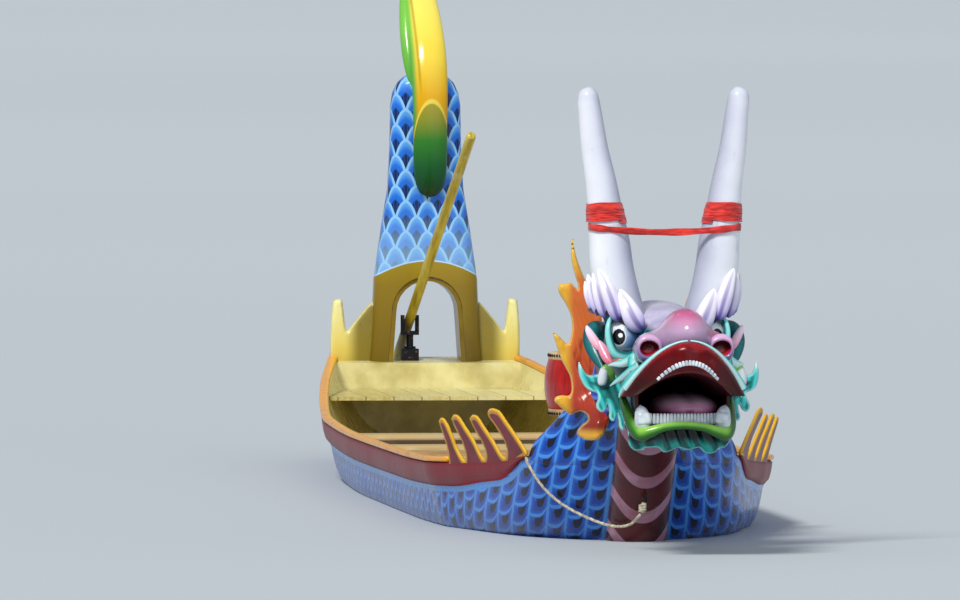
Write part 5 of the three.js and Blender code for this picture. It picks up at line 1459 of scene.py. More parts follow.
flat, faces, near = plate_parts(rounded(FRILL_OUTLINE, 300), FRILL_THICK, 0.016, 0.0065, drip_grooves)
frill_aft = -1.700 + 1.05 * np.clip(flat[:, 1] - 0.47, 0, 1) + 0.9 * (np.abs(flat[:, 0]) - 0.2) ** 2
frills = upright_pair("frill", flat, faces, near, frill_aft)
paint = Paint("frill_teal")
u, v = paint.uv()
edge = paint.value("near")
rib = ((u + 0.35 * v) * (2 * math.pi / DRIP_PITCH) + (u * 0.55 - v) * 3.0).wave()
frill_colour = paint.mix(rib.step(0.0, 1.0), "14807e", "38b8b4")
# Pale aqua along the outline: painted highlight on the rounded edge.
frill_colour = paint.mix(edge.step(0.014, 0.003) * 0.75, frill_colour, "a0ece6")
frill_colour = paint.mix(edge.step(0.020, 0.034) * 0.8, frill_colour, "06403f")
tip = (v - 0.6 * (u.abs() - 0.36)).step(0.79, 0.83) * u.abs().step(0.35, 0.375)
frill_colour = paint.mix(tip, frill_colour, "eefcfa")
finish_pair(frills, gloss_paint(paint, frill_colour, 0.22), "beard", "jaw_frill")
print("lower lip, beard and frills made")

# %% [markdown]
# ## Side fins
# Beside the neck stands an orange board with flame-shaped spikes, yellow at the tips and dark red low in
# the middle. The outline is typed from the real one, and the colour comes from the distance to that
# outline.

# %% Side fins
# The lead is how far the foot's inner part comes ahead, round the neck.
FIN_AFT, FIN_THICK, FIN_LEAD = -0.303, 0.034, 0.165
# Columns: x and z.
FIN_OUTLINE = [
    (-0.315, 1.372), (-0.308, 1.320), (-0.292, 1.262), (-0.262, 1.188), (-0.225, 1.130), (-0.196, 1.085),
    (-0.184, 1.000), (-0.172, 0.760), (-0.162, 0.640), (-0.166, 0.560), (-0.206, 0.480), (-0.262, 0.466),
    (-0.290, 0.478), (-0.302, 0.488), (-0.299, 0.508), (-0.284, 0.532), (-0.262, 0.556), (-0.262, 0.578),
    (-0.284, 0.592), (-0.308, 0.584), (-0.325, 0.575), (-0.352, 0.594), (-0.378, 0.616), (-0.398, 0.638),
    (-0.392, 0.656), (-0.366, 0.664), (-0.338, 0.662), (-0.324, 0.674), (-0.321, 0.705), (-0.328, 0.748),
    (-0.346, 0.784), (-0.364, 0.818), (-0.382, 0.866), (-0.396, 0.910), (-0.405, 0.944), (-0.384, 0.934),
    (-0.362, 0.914), (-0.344, 0.896), (-0.330, 0.906), (-0.320, 0.950), (-0.320, 0.995), (-0.330, 1.036),
    (-0.350, 1.078), (-0.372, 1.112), (-0.382, 1.140), (-0.374, 1.164), (-0.350, 1.164), (-0.326, 1.168),
    (-0.306, 1.150), (-0.294, 1.140), (-0.292, 1.160), (-0.304, 1.198), (-0.318, 1.250), (-0.324, 1.310),
]


def fin_relief(x, z, near):
    """The middle swells by 6 mm and shallow ribs run up it."""
    grooves = 0.0016 * np.sin(z * 95 + 14 * np.sin(x * 22)) * np.clip(near / 0.02, 0, 1)
    return 0.006 * np.clip(near / 0.05, 0, 1) + grooves


flat, faces, near = plate_parts(rounded(FIN_OUTLINE, 330), FIN_THICK, 0.012, 0.009, fin_relief)
low_part = np.clip((0.70 - flat[:, 1]) / 0.16, 0, 1) * np.clip((0.34 + flat[:, 0]) / 0.12, 0, 1)
fin_aft = FIN_AFT - FIN_LEAD * (3 * low_part**2 - 2 * low_part**3)
side_fins = upright_pair("fin", flat, faces, near, fin_aft)
paint = Paint("fin_orange")
u, v = paint.uv()
edge = paint.value("near")
cloud = paint.noise(7.0, detail=4.0)
spike = (u.abs() + 0.02 * cloud).step(0.315, 0.365)
spike = spike.most(v.step(1.16, 1.27))
spike = spike.most(v.step(0.53, 0.49) * 0.9)
middle_tone = paint.ramp(
    v + 0.12 * cloud, (0.50, "8c3818"), (0.62, "9a2c1c"), (0.80, "c44a2e"), (1.10, "d86c30"),
)
fin_colour = paint.mix(spike, middle_tone, "eeb234")
fin_colour = paint.mix(edge.step(0.009, 0.003) * 0.7, fin_colour, "f0c860")
red_streak = paint.noise(26.0, detail=3.0, stretch=(1, 1, 0.22)).step(0.56, 0.66) * edge.step(0.025, 0.05)
fin_colour = paint.mix(red_streak * 0.55, fin_colour, "7a1010")
finish_pair(side_fins, gloss_paint(paint, fin_colour, 0.25), "side_fin", "side_fin")
print("side fins made")

# %% [markdown]
# ## Horns and their red cloth
# Each horn is a long tapering limb, thick at the brow and slightly knobbed at the tip. A strip of red
# cloth is wound round it several times, and one ribbon hangs from horn to horn. The winding is a thin
# section carried up round the horn, each turn lying over the last. It is not simulated: a wound strip is
# held tight, so its shape is set by the winding and not by its weight. The ribbon sags as a chain does.

# %% Horns
HORN_ROWS = np.array([
    (-0.160, -1.150, 0.990, 0.080), (-0.176, -1.150, 1.040, 0.092), (-0.196, -1.150, 1.100, 0.095),
    (-0.218, -1.150, 1.180, 0.096), (-0.236, -1.145, 1.270, 0.096), (-0.244, -1.142, 1.360, 0.092),
    (-0.254, -1.138, 1.440, 0.085), (-0.262, -1.135, 1.500, 0.078), (-0.282, -1.130, 1.640, 0.069),
    (-0.308, -1.120, 1.780, 0.061), (-0.326, -1.110, 1.930, 0.053), (-0.334, -1.106, 1.990, 0.050),
    (-0.337, -1.104, 2.030, 0.043), (-0.338, -1.103, 2.052, 0.026), (-0.339, -1.102, 2.060, 0.006),
])
horns = limb_pair("horn_form", HORN_ROWS, 110, 36)
paint = Paint("horn_grey")
x, y, z = paint.place()
cloud = paint.noise(5.0, detail=4.0)
# Darker towards the boat's middle, painted shade on the horn's inner side, and a little darker higher up.
horn = paint.ramp(
    x.abs() * 1.6 - (z - 1.0) * 0.26 + 0.12 * cloud, (0.20, "a4a8bc"), (0.32, "d4d6e2"),
    (0.46, "f0f1f6"),
)
horn = paint.mix(z.step(1.98, 2.03) * 0.5, horn, "c8ccd8")
grime = paint.noise(16.0, detail=6.0, stretch=(1, 1, 0.3)).step(0.60, 0.72)
horn = paint.mix(grime * 0.35, horn, "868ca0")
horn = paint.mix(z.step(1.075, 1.055) * x.abs().step(0.19, 0.21), horn, DARK_TEAL)
finish_pair(horns, gloss_paint(paint, horn, 0.3, coat=0.25), "horn", "horn")

# %% Cloth on the horns
TIE_LOW, TIE_HIGH, TIE_TURNS, TIE_STRIP, TIE_CLOTH = 1.456, 1.552, 5.2, 0.034, 0.0013
# How far off the horn a turn's upper edge lies, and how much further its lower edge.
TIE_OFF, TIE_LAP = 0.0035, 0.0055


def tie_points(steps=380, around=18):
    """A strip wound up round the horn: the height rises with the turn, and across the strip the radius
    falls from its lower edge to its upper, so that each turn lies over the last. Ripples follow the
    turn."""
    turn = np.linspace(0.6, 0.6 + 2 * np.pi * TIE_TURNS, steps)[:, None]
    climb = (turn - turn[0]) / (turn[-1] - turn[0])
    section = full_turn(around)
    side = blunt_wave(np.cos(section), 0.6)
    middle = TIE_LOW + TIE_STRIP / 2 + (TIE_HIGH - TIE_LOW - TIE_STRIP) * climb + 0.003 * np.sin(2 * turn + 1)
    height = middle + side * TIE_STRIP / 2 * (1 + 0.10 * np.sin(3.3 * turn))
    axis_x, axis_aft, horn_radius = (np.interp(height, HORN_ROWS[:, 2], HORN_ROWS[:, k]) for k in (0, 1, 3))
    ripple = 0.0009 * np.sin(5 * side + 1.3 * turn) + 0.0007 * np.sin(9 * turn + 4 * side)
    radius = horn_radius + TIE_OFF + TIE_LAP * (1 - side) / 2 + ripple + TIE_CLOTH / 2 * np.sin(section)
    x, aft = axis_x + radius * np.sin(turn), axis_aft - radius * np.cos(turn)
    return to_frame(np.stack([x, aft, height], -1))


RIBBON_WIDE = 0.030
# Columns: x, aft and z of half the ribbon, from the outside of the horn round its front to the middle.
RIBBON_ROWS = np.array([
    (-0.341, -1.150, 1.442), (-0.336, -1.182, 1.440), (-0.314, -1.212, 1.438), (-0.282, -1.230, 1.435),
    (-0.244, -1.236, 1.431), (-0.160, -1.236, 1.424), (-0.080, -1.237, 1.420), (0.000, -1.238, 1.419),
])


def ribbon_points(steps=150, around=16):
    """A thin oval carried round the horns' fronts and across, its tall side upright but twisting a little."""
    whole = np.concatenate([RIBBON_ROWS, (RIBBON_ROWS * [-1, 1, 1])[-2::-1]])
    path = smooth(whole, steps)[:, None]
    along = unit(np.gradient(path, axis=0))
    outward = unit(np.cross(along, [0, 0, 1.0]))
    outward = outward * np.where(outward[steps // 2, 0, 1] < 0, 1, -1)
    s = np.linspace(-1, 1, steps)[:, None]
    turn = full_turn(around)
    twist = 0.30 * np.sin(4.6 * s) * (np.abs(s) < 0.75)
    wide = RIBBON_WIDE / 2 * (1 + 0.10 * np.sin(17 * s)) * np.cos(turn)
    thick = 0.0014 * np.sin(turn) + 0.0012 * np.sin(420 * wide + 9 * s)
    up = wide * np.cos(twist) + thick * np.sin(twist)
    out = thick * np.cos(twist) - wide * np.sin(twist)
    return to_frame(path + outward * out[..., None] + np.array([0, 0, 1.0]) * up[..., None])


ties = pair(grid_parts(tie_points()), "tie_cloth")
ribbon = mesh_piece("ribbon_cloth", *grid_parts(ribbon_points()))
paint = Paint("red_cloth")
x, y, z = paint.place()
weave = (((x + y) * 2200.0).sin() * (z * 2200.0).sin()) * 0.5 + 0.5
crumple = paint.noise(30.0, detail=4.0, stretch=(0.6, 0.6, 2.4))
# Darker in the folds and brighter on their crests: painted shade and light.
red = paint.mix(crumple.step(0.35, 0.7), "a80c0c", "ee3020")
folds = paint.bump(crumple, 0.004, 0.7)
weave_bump = paint.bump(weave, 0.0004, 0.4, under=folds)
paint.set(Base_Color=red, Roughness=0.75, Normal=weave_bump, Sheen_Weight=0.35)
for piece in (*ties, ribbon):
    place_piece(piece, paint.material, "cloth")
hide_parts("horn_ties")
print("horns and cloth made")

# %% [markdown]
# ## Wood inside the boat
# Benches, floor boards, decks, seat and stand keep their solid shapes: they are straight boards, and flat
# boards need no new surface. Their finish does the work. Wood grain is noise pulled out along the board,
# and boards side by side are told apart by the whole number of the distance across them.

# %% Wood finishes
def wood_paint(name, grain_axis, board_axis, board, low, high, worn, gloss=0.45):
    """Grain is noise drawn out along one axis; each board has its own shade, and dark lines part the
    boards."""
    paint = Paint(name)
    axes = paint.place()
    stretch = [1.0, 1.0, 1.0]
    stretch[grain_axis] = 0.06
    grain = paint.noise(60.0, detail=5.0, stretch=stretch)
    count = axes[board_axis] / board
    own = (count.floor() * 12.9898).wave()
    gap = (0.5 - (count.fract() - 0.5).abs()).step(0.022, 0.010)
    tone = grain * 0.7 + own * 0.3
    colour = paint.ramp(tone, (0.28, low), (0.62, high))
    rub = paint.noise(5.0, detail=4.0).step(0.50, 0.68)
    colour = paint.mix(rub * 0.45, colour, worn)
    colour = paint.mix(gap * 0.85, colour, "2a1c10")
    relief = paint.bump(grain - gap * 3.0, 0.0012, 0.5)
    paint.set(Base_Color=colour, Roughness=gloss + 0.2 * (grain - 0.5), Coat_Weight=0.2, Normal=relief)
    return paint.material


PALE_WOOD, BROWN_WOOD, GREY_WOOD = "d8bc84", "a87c48", "c9bda6"
bench_wood = wood_paint("bench_wood", 0, 1, 0.105, BROWN_WOOD, PALE_WOOD, GREY_WOOD)
floor_wood = wood_paint("floor_wood", 1, 0, 0.105, "7c5c38", "b4925c", "9c917c", 0.6)
deck_wood = wood_paint("deck_wood", 1, 0, 0.14, "c0ac58", "e6da98", "cfc8a0")
for node, wood in (
    ("benches", bench_wood), ("drummer_seat", bench_wood), ("floor_boards", floor_wood),
    ("foredeck", deck_wood), ("stern_deck", deck_wood),
):
    dress(node, wood)
paint = Paint("stand_red")
scrape = paint.noise(18.0, detail=5.0).step(0.58, 0.68)
dress("drum_stand", gloss_paint(paint, paint.mix(scrape * 0.6, "8c1214", "5a3a24"), 0.35))
print("inside boards finished")

# %% [markdown]
# ## The drum
# The drum is a red lacquered barrel. Hide is stretched over each end, drawn down over the edge and nailed
# with black studs. Barrel and hides are profiles turned round an upright axis, and the studs are small
# domes on the same circles.

# %% Drum
DRUM_MIDDLE = (0.0, 1.080)
DRUM_LOW, DRUM_HIGH, DRUM_RADIUS, DRUM_BELLY = 0.520, 0.812, 0.262, 0.030
HIDE_DEPTH, HIDE_OUT, STUDS = 0.034, 0.010, 72


def turned_parts(profile, rings=40, sides=96):
    """Radius and height rows turned round the drum's axis: x and y are the radius times cosine and sine."""
    rows = smooth(profile, rings)[:, None]
    turn = full_turn(sides)
    x = DRUM_MIDDLE[0] + rows[..., 0] * np.cos(turn)
    aft = DRUM_MIDDLE[1] + rows[..., 0] * np.sin(turn)
    return grid_parts(to_frame(np.stack([x, aft, np.broadcast_to(rows[..., 1], x.shape)], -1)))


share = np.linspace(-1, 1, 17)
drum_half = (DRUM_HIGH - DRUM_LOW) / 2 - 0.003
barrel_profile = np.column_stack([
    DRUM_RADIUS + DRUM_BELLY * (1 - share**2), (DRUM_HIGH + DRUM_LOW) / 2 + share * drum_half,
])
barrel = mesh_piece("drum_barrel_lacquer", *turned_parts(barrel_profile, 48), sharp=60)
paint = Paint("drum_red")
stave = paint.noise(34.0, detail=3.0, stretch=(1, 1, 0.1))
red = paint.mix(stave.step(0.3, 0.7), "c8180e", "980a0a")
red = paint.mix(paint.noise(20.0, detail=5.0).step(0.66, 0.74) * 0.6, red, "4a1410")
place_piece(barrel, gloss_paint(paint, red, 0.18, coat=0.35, shine=0.2), "drum", "drum_barrel")


def stud_parts(radius, z, size=0.0075):
    """One dome of a few faces, copied round a circle: each copy is the dome turned by its own angle."""
    lat = np.linspace(0.0, np.pi / 2, 4)[:, None, None]
    lon = np.linspace(0, 2 * np.pi, 8, endpoint=False)[None, :, None]
    turn = np.linspace(0, 2 * np.pi, STUDS, endpoint=False)
    out, side, up = (size * 0.7 * np.sin(lat) + 0 * lon, size * np.cos(lat) * np.cos(lon),
                     size * np.cos(lat) * np.sin(lon))
    r = radius + out
    x = DRUM_MIDDLE[0] + r * np.cos(turn) - side * np.sin(turn)
    aft = DRUM_MIDDLE[1] + r * np.sin(turn) + side * np.cos(turn)
    domes = to_frame(np.stack([x, aft, z + up + 0 * turn], -1))
    return [grid_parts(domes[:, :, k]) for k in range(STUDS)]


studs = []
for sign, edge, name in ((1, DRUM_HIGH, "top"), (-1, DRUM_LOW, "bottom")):
    rim = DRUM_RADIUS + HIDE_OUT
    hide_profile = [
        (rim - 0.006, edge - sign * HIDE_DEPTH), (rim + 0.002, edge - sign * (HIDE_DEPTH - 0.002)),
        (rim, edge - sign * 0.014), (rim - 0.004, edge - sign * 0.003), (rim - 0.016, edge),
        (rim - 0.06, edge + sign * 0.0005), (0.02, edge + sign * 0.0008),
    ]
    inner = [(0.02, edge - sign * 0.002), (rim - 0.012, edge - sign * 0.002)]
    order = hide_profile if sign < 0 else hide_profile[::-1]
    hide = mesh_piece(f"drum_hide_{name}", *turned_parts(order, 46), sharp=60)
    paint = Paint(f"hide_{name}")
    x, y, z = paint.place()
    fibre = paint.noise(24.0, detail=5.0)
    hide_colour = paint.ramp(fibre, (0.30, "b08a5c"), (0.55, "d2b080"), (0.75, "e6d0a4"))
    centre = (x * x + (y - BOW_Y - DRUM_MIDDLE[1]) * (y - BOW_Y - DRUM_MIDDLE[1])).sqrt()
    hide_colour = paint.mix(centre.step(0.12, 0.02) * 0.35, hide_colour, "7c5a38")
    paint.set(Base_Color=hide_colour, Roughness=0.55 + 0.1 * fibre, Normal=paint.bump(fibre, 0.0008, 0.5))
    place_piece(hide, paint.material, "drum_skin", f"drum_skin_{name}")
    studs += stud_parts(rim + 0.001, edge - sign * 0.014)
nails = mesh_piece("drum_studs", *joined(studs))
paint = Paint("stud_black")
paint.set(Base_Color=paint.mix(paint.noise(90.0), "0c0c0e", "3a3632"), Metallic=0.7, Roughness=0.4)
place_piece(nails, paint.material, "iron")
print("drum made, with", 2 * STUDS, "studs")

# %% [markdown]
# ## The tail
# The tail stands on two legs over the oar's arch, and a tall plume curls up its front. The column is a
# stack of squared ovals. Each leg is the part of the same oval that lies outside the arch, closed by a
# straight inner wall, so legs and column run into each other. Its scales point up, each with a dark fan
# low in the middle.

# %% Tail
TAIL_AFT, TAIL_POWER = 9.330, 0.62
# Columns: z, half-breadth, half-depth.
TAIL_ROWS = np.array([
    (0.420, 0.292, 0.112), (0.620, 0.275, 0.112), (0.800, 0.266, 0.112), (0.900, 0.262, 0.112),
    (0.990, 0.250, 0.112), (1.180, 0.222, 0.110), (1.360, 0.192, 0.106), (1.580, 0.181, 0.102),
    (1.785, 0.177, 0.096),
    (1.850, 0.166, 0.090), (1.900, 0.142, 0.078), (1.935, 0.102, 0.058), (1.952, 0.040, 0.024),
])
ARCH_SPRING, ARCH_HALF, ARCH_FOOT_Z, ARCH_SPREAD = 0.745, 0.178, 0.300, 0.034
ARCH_CROWN = ARCH_SPRING + ARCH_HALF


def tail_section(z, first, last, sides):
    """Squared ovals at the heights z, from angle first to angle last; angle 0 points ahead and grows to
    port."""
    half = np.stack([np.interp(z, TAIL_ROWS[:, 0], TAIL_ROWS[:, k]) for k in (1, 2)], 1)[:, None]
    turn = first + (last - first) * np.linspace(0, 1, sides)[None]
    x = half[..., 0] * blunt_wave(np.sin(turn), TAIL_POWER)
    aft = TAIL_AFT - half[..., 1] * blunt_wave(np.cos(turn), TAIL_POWER)
    return np.stack([x, aft, np.broadcast_to(z[:, None], x.shape)], -1)


def arch_half(z):
    """Half the arch's width: straight legs that spread below, and a half circle on top of them."""
    straight = ARCH_HALF + ARCH_SPREAD * (ARCH_SPRING - z) / (ARCH_SPRING - ARCH_FOOT_Z)
    rise = np.clip(z - ARCH_SPRING, 0, ARCH_HALF)
    return np.where(z < ARCH_SPRING, straight, np.sqrt(np.maximum(ARCH_HALF**2 - rise**2, 0)))


leg_z = np.concatenate([
    np.linspace(0.420, 0.740, 18), ARCH_SPRING + ARCH_HALF * np.sin(np.linspace(0.06, np.pi / 2, 30)),
])
leg_breadth = np.interp(leg_z, TAIL_ROWS[:, 0], TAIL_ROWS[:, 1])
leg_start = np.arcsin(np.clip((arch_half(leg_z) / leg_breadth), 0, 1) ** (1 / TAIL_POWER))[:, None]
leg = tail_section(leg_z, leg_start, np.pi - leg_start, 64)
column_z = np.concatenate([np.linspace(ARCH_CROWN, 1.78, 60), np.linspace(1.79, 1.952, 24)])
column = tail_section(column_z, -np.pi, np.pi * (1 - 2 / 128), 128)


def wrap_uv(points):
    """u is the distance round from the front's middle line, v the height."""
    run = run_along(points[..., :2])
    ahead = np.argmin(points[..., 1] * 1000 + np.abs(points[..., 0]), axis=1)[:, None]
    run = run - np.take_along_axis(run, ahead, 1) + np.abs(np.take_along_axis(points[..., 0], ahead, 1))
    uv = np.stack([run, points[..., 2]], -1)
    return np.concatenate([uv, uv[:, -1:]], axis=1)


leg_parts = grid_parts(to_frame(leg), uv=wrap_uv(leg))
port_verts, port_faces, port_uv = leg_parts
starboard_faces = [f[::-1] for f in port_faces]
ends = np.cumsum([len(f) for f in port_faces])
flipped = np.concatenate([np.arange(e - 1, e - len(f) - 1, -1) for e, f in zip(ends, port_faces)])
starboard_leg = (port_verts * [-1, 1, 1], starboard_faces, port_uv[flipped])
column_parts = grid_parts(to_frame(column), uv=wrap_uv(column))
tail_piece = mesh_piece("tail_column", *joined([leg_parts, starboard_leg, column_parts]), sharp=50)

TAIL_SCALE_WIDE, TAIL_ROW = 0.108, 0.077
# The dark fan's height and half-breadth, and the z of the olive part's edge at the middle; the olive is
# gold under painted shade.
FAN_TALL, FAN_HALF, OLIVE_EDGE = 0.084, 0.044, 1.000
paint = Paint("tail_scales")
u, v = paint.uv()
x, y, z = paint.place()


def arch_family(shift):
    """Every second row of pointed arches: how far a point lies below the arch line over it, and how far
    across."""
    across = ((u / TAIL_SCALE_WIDE + shift).fract() - 0.5).abs() * 2
    drop = (across * 0.2 + across * across * 0.4 + across * across * across * 0.4) * TAIL_ROW
    count = (v + drop) / (2 * TAIL_ROW) - shift
    return (0 - count).fract() * (2 * TAIL_ROW), across


first_below, first_across = arch_family(0.0)
second_below, second_across = arch_family(0.5)
in_first = (second_below - first_below).step(-0.0001, 0.0001)
below = first_below.least(second_below)
side_at = in_first * first_across + (1 - in_first) * second_across
slope = (side_at * 0.8 + side_at * side_at * 1.2 + 0.2) * (2 * TAIL_ROW / TAIL_SCALE_WIDE)
outline = (below / (slope * slope + 1).sqrt()).step(0.0165, 0.0120)
fan_up = (2 * TAIL_ROW - below) / FAN_TALL
fan_side = side_at * (TAIL_SCALE_WIDE / 2) / FAN_HALF
fan = (fan_up * fan_up + fan_side * fan_side).step(1.05, 0.70)
fan = fan * ((side_at * 26.0).sin() * 0.2 + 0.85)
blue = paint.mix(below.step(0.015, 0.060), "5aa4ec", "1c6ad4")
blue = paint.mix(fan, blue, "0a1c4c")
blue = paint.mix(outline, blue, "8cc4f2")
blue = paint.mix(z.step(1.30, 0.98) * 0.45, blue, "a8d4f8")
olive_edge = z - OLIVE_EDGE + 1.15 * x * x
# Below the edge the arch's gold face is painted olive, darkest low down: painted shade.
shaded_gold = paint.ramp(z + 0.05 * paint.noise(6.0), (0.5, "6c5808"), (0.9, "8c7210"), (1.02, "9c8214"))
edge_line = olive_edge.abs().step(0.010, 0.004)
tail_colour = paint.mix(olive_edge.step(0.002, -0.002), paint.mix(edge_line, blue, "b4dcf8"), shaded_gold)
relief = paint.bump(outline * olive_edge.step(-0.002, 0.002), 0.0015, 0.6)
place_piece(tail_piece, gloss_paint(paint, tail_colour, 0.25, under=relief), "tail_blue", "tail")

paint = Paint("arch_olive")
# The lining is gold painted olive: painted shade inside the arch.
shaded_gold = paint.mix(paint.noise(9.0, detail=4.0), "5e4c08", "94780f")
dress("tail_arch_lining", gloss_paint(paint, shaded_gold, 0.3))
print("tail:", len(tail_piece.data.polygons), "faces")

# %% [markdown]
# ## Plume and stern fins
# The plume is one thick limb that follows the tail's front and then sweeps aft, with a slimmer leaf beside
# it. A painted leaf shape shades from dark green at its foot to gold. The fins are boards cut to an
# outline.

# %% Plume
# Columns: x, aft, z and radius.
PLUME_ROWS = [
    (0.012, 9.214, 1.326, 0.012), (0.012, 9.208, 1.346, 0.048), (0.012, 9.200, 1.392, 0.072),
    (0.012, 9.193, 1.480, 0.084), (0.012, 9.194, 1.700, 0.086), (0.012, 9.212, 1.880, 0.090),
    (0.008, 9.270, 2.040, 0.092),
    (0.002, 9.370, 2.190, 0.087), (-0.004, 9.480, 2.330, 0.073), (-0.006, 9.580, 2.470, 0.050),
    (-0.002, 9.650, 2.600, 0.024), (0.002, 9.680, 2.680, 0.005),
]
LEAF_ROWS = [
    (-0.044, 9.252, 1.830, 0.014), (-0.072, 9.280, 1.960, 0.034), (-0.084, 9.350, 2.120, 0.040),
    (-0.082, 9.450, 2.290, 0.036), (-0.072, 9.570, 2.440, 0.024), (-0.060, 9.660, 2.560, 0.005),
]
# The painted leaf: its middle and half-breadth in x, its top's z and how far the top's sides drop.
LEAF_MIDDLE, LEAF_HALF, LEAF_TOP, LEAF_ROUND = 0.016, 0.089, 1.808, 0.225
plume_limbs = [
    grid_parts(limb_points(PLUME_ROWS, 150, 48, flat=0.55)),
    grid_parts(limb_points(LEAF_ROWS, 70, 28, flat=0.8)),
]
plume = mesh_piece("plume_form", *joined(plume_limbs))
paint = Paint("plume_paint")
x, y, z = paint.place()
cloud = paint.noise(4.0, detail=3.0)
leaf_side = (x - LEAF_MIDDLE) / LEAF_HALF
leaf_share = (1 - leaf_side * leaf_side).most(0.0).sqrt()
leaf_top = LEAF_TOP - LEAF_ROUND * (1 - leaf_share)
leaf_gap = leaf_top - z
inside_leaf = paint.ramp(
    (z + 0.03 * cloud - 1.30) * 1.6, (0.06, "04341a"), (0.30, "085420"), (0.52, "2c7820"),
    (0.70, "8a8c28"), (0.90, "b0962a"),
)
gold = paint.ramp(
    z + 0.03 * cloud - 1.6, (0.02, "c08c08"), (0.24, "dca40c"), (0.45, "eed040"), (0.8, "f4e468"),
)
green_side = (x * -1.0 - 0.050 - 0.02 * (z - 2.0)).step(0.0, 0.028) * z.step(1.50, 1.75)
gold = paint.mix(green_side, gold, paint.ramp(z * 0.4, (0.66, "1c8a34"), (0.86, "78c048")))
# A dark line where the leaf meets the plume: painted shade.
painted_shading = ((x + 0.040 + 0.05 * (z - 1.9)).abs()).step(0.010, 0.002) * z.step(1.80, 1.95)
gold = paint.mix(painted_shading * 0.6, gold, "a07c08")
plume_colour = paint.mix(leaf_gap.step(-0.003, 0.003), gold, inside_leaf)
plume_colour = paint.mix(leaf_gap.abs().step(0.016, 0.008) * z.step(1.50, 1.66), plume_colour, "e0c848")
relief = paint.bump(leaf_gap.step(-0.01, 0.01), 0.003, 0.5)
plume_paint = gloss_paint(paint, plume_colour, 0.2, coat=0.25, shine=0.2, under=relief)
place_piece(plume, plume_paint, "plume", "tail_plume")

# %% Stern fins
STERN_FIN_AFT, STERN_FIN_THICK = 9.330, 0.058
# Columns: x and z.
STERN_FIN_OUTLINE = [
    (-0.230, 0.432), (-0.230, 0.620), (-0.231, 0.790), (-0.246, 0.800), (-0.282, 0.784), (-0.345, 0.710),
    (-0.392, 0.652), (-0.402, 0.658), (-0.412, 0.730), (-0.420, 0.795), (-0.432, 0.808), (-0.458, 0.804),
    (-0.469, 0.786), (-0.478, 0.690), (-0.481, 0.560), (-0.474, 0.450), (-0.462, 0.434), (-0.350, 0.432),
]
flat, faces, near = plate_parts(rounded(STERN_FIN_OUTLINE, 220), STERN_FIN_THICK, 0.016, 0.010)
stern_fins = upright_pair("stern_board", flat, faces, near, STERN_FIN_AFT)
paint = Paint("stern_yellow")
u, v = paint.uv()
edge = paint.value("near")
yellow = paint.ramp(v + 0.1 * paint.noise(8.0), (0.45, "b49a34"), (0.62, "dcc860"), (0.80, "efe69c"))
# Dark olive over the inner part: painted shade on its inner slope.
yellow = paint.mix(u.abs().step(0.42, 0.33) * 0.9, yellow, "7a6814")
yellow = paint.mix(edge.step(0.012, 0.004) * 0.7, yellow, "f0e8a0")
finish_pair(stern_fins, gloss_paint(paint, yellow, 0.28), "stern_fin", "stern_fin")
print("plume and stern fins made")

# %% [markdown]
# ## Steering oar
# The oar is one long piece: a round loom that flattens into a blade. Its section is an ellipse whose two
# half-axes are read from a short table of places along the oar. It leans through the arch, tied to its own
# joint body, so that it follows the bracket and the tilt.

# %% Oar
OAR_PIVOT = np.array([-0.078, 9.330, 0.705])
OAR_AXIS = unit(np.array([-0.0898, 0.8353, -0.5423]))
# Columns: place along the oar from the pivot, half-height of the section, half-thickness.
OAR_ROWS = [
    (-1.772, 0.006, 0.006), (-1.766, 0.021, 0.021), (-1.745, 0.025, 0.025), (-1.600, 0.0245, 0.0245),
    (-0.200, 0.0250, 0.0250), (0.000, 0.0250, 0.0250), (0.200, 0.0250, 0.0250), (0.980, 0.0240, 0.0240),
    (1.060, 0.0310, 0.0190), (1.140, 0.0480, 0.0130), (1.310, 0.0880, 0.0095), (1.500, 0.0910, 0.0088),
    (1.620, 0.0900, 0.0080), (1.652, 0.0760, 0.0060), (1.660, 0.0500, 0.0030),
]


def oar_points(rings=220, sides=28):
    """Ellipses along the oar's axis; the taller half-axis lies in the axis' upright plane."""
    place = np.concatenate([
        np.linspace(-1.772, -1.745, 12), np.linspace(-1.73, 0.95, rings - 72), np.linspace(0.96, 1.66, 60),
    ])
    table = np.asarray(OAR_ROWS)
    tall, thick = (np.interp(place, table[:, 0], table[:, k])[:, None, None] for k in (1, 2))
    up = unit(np.array([0.0, 0.0, 1.0]) - OAR_AXIS * OAR_AXIS[2])
    side = np.cross(OAR_AXIS, up)
    turn = full_turn(sides)[..., None]
    centre = OAR_PIVOT + OAR_AXIS * place[:, None]
    return to_frame(centre[:, None] + up * tall * np.cos(turn) + side * thick * np.sin(turn))


oar = mesh_piece("oar_loom", *grid_parts(oar_points()))
paint = Paint("oar_yellow")
u, v = paint.uv()
grain = paint.noise(40.0, detail=4.0, stretch=(1.0, 0.10, 0.15))
yellow = paint.ramp(grain, (0.30, "94801c"), (0.55, "c4ae34"), (0.75, "dccc62"))
hands = paint.noise(9.0, detail=4.0).step(0.55, 0.68) * u.step(0.30, 0.05)
yellow = paint.mix(hands * 0.5, yellow, "e4dcb0")
yellow = paint.mix((u - 0.52).abs().step(0.05, 0.02) * 0.7, yellow, "6c5a20")
place_piece(
    oar, gloss_paint(paint, yellow, 0.35, under=paint.bump(grain, 0.0006, 0.6)), "oar", "steering_oar",
    body="steering_oar",
)

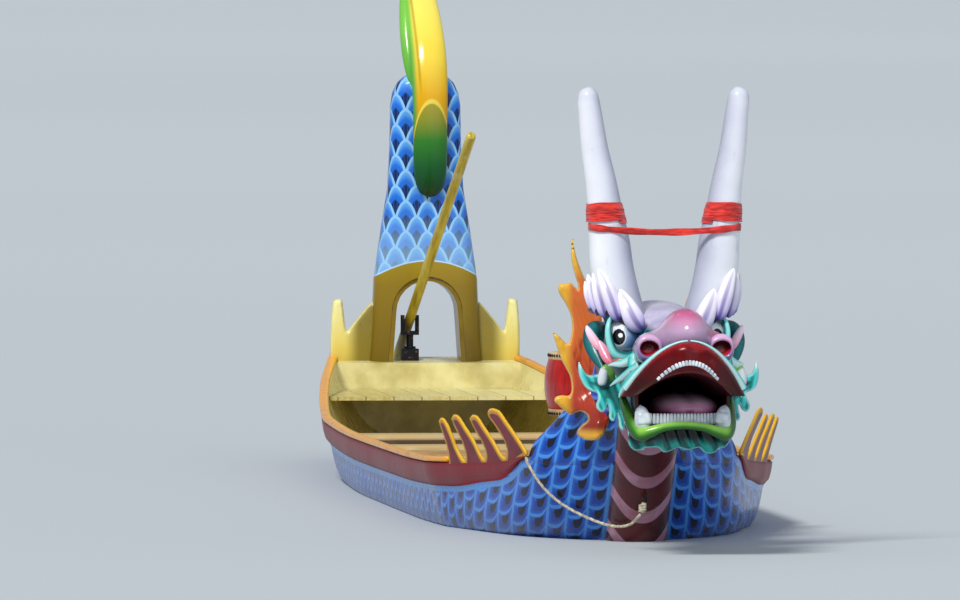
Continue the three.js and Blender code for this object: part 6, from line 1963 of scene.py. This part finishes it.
# %% Iron fittings
paint = Paint("iron_fittings")
rust = paint.noise(38.0, detail=6.0)
spots = rust.step(0.56, 0.70)
metal = paint.mix(spots, "22242a", "6a3c20")
paint.set(
    Base_Color=metal, Metallic=0.85 - 0.7 * spots, Roughness=0.42 + 0.3 * rust,
    Normal=paint.bump(rust, 0.0006, 0.5),
)
for node in ("oar_lock", "oar_socket", "bow_eye"):
    dress(node, paint.material)
print("oar and fittings made")

# %% [markdown]
# ## Floor and light
# The floor stands for the water: it lies at z = 0 and has a hole where the hull sits in it, so that it
# doesn't show inside the boat. A sun with a wide angle gives soft shadows at any distance, which a lamp
# close to the boat wouldn't do for an object this long, and a large soft lamp from the other side fills
# them.

# %% Floor and lights
FLOOR_REACH = 520.0
# The ends of the waterline, and how far inside the skin's outer face the floor's edge lies.
WATER_RUN, FLOOR_EDGE_IN = (0.004, 8.99), 0.006
water_aft = np.linspace(*WATER_RUN, 120)
water_half = section_half(water_aft, 80)
wet_index = np.argmax(water_half[..., 1] <= 0, axis=1)
row_index = np.arange(len(water_aft))
above, under = water_half[row_index, wet_index - 1], water_half[row_index, wet_index]
fall = (above[:, 1] / (above[:, 1] - under[:, 1]))[:, None]
water_x = (above + (under - above) * fall)[:, 0] - FLOOR_EDGE_IN
water_loop = np.concatenate([
    np.stack([water_x, water_aft + BOW_Y], 1), np.stack([-water_x, water_aft + BOW_Y], 1)[::-1],
])
loop_middle = np.array([0.0, 0.5])
turned = unit(water_loop - loop_middle)
floor_rings = [water_loop] + [loop_middle + turned * reach for reach in (8.0, 30.0, FLOOR_REACH)]
floor_points = np.stack([np.column_stack([ring, np.zeros(len(ring))]) for ring in floor_rings])
floor = mesh_piece("floor_stage", *grid_parts(floor_points, capped=False))
if floor.data.polygons[0].normal.z < 0:
    floor.data.flip_normals()
paint = Paint("floor_pale", Roughness=0.75)
cloud = paint.noise(0.02, detail=1.0)
paint.set(Base_Color=paint.ramp(cloud, (0.3, (0.50, 0.54, 0.57)), (0.7, (0.53, 0.57, 0.60))))
floor.data.materials.append(paint.material)

world = bpy.data.worlds.new("studio")
world.use_nodes = True
world.node_tree.nodes["Background"].inputs[0].default_value = (0.80, 0.88, 1.0, 1.0)
world.node_tree.nodes["Background"].inputs[1].default_value = 0.42
bpy.context.scene.world = world
bpy.context.scene.view_settings.view_transform = "Standard"


def sun(name, strength, degrees, turn, colour):
    """A sun whose angle sets how soft its shadows are."""
    data = bpy.data.lights.new(name, "SUN")
    data.energy = strength
    data.angle = math.radians(degrees)
    data.color = colour
    light = bpy.data.objects.new(name, data)
    light.rotation_euler = tuple(math.radians(a) for a in turn)
    bpy.context.scene.collection.objects.link(light)


sun("key", 2.7, 14, (34, -26, 0), (1.0, 0.98, 0.94))
sun("fill", 0.55, 60, (62, 38, 0), (0.85, 0.92, 1.0))
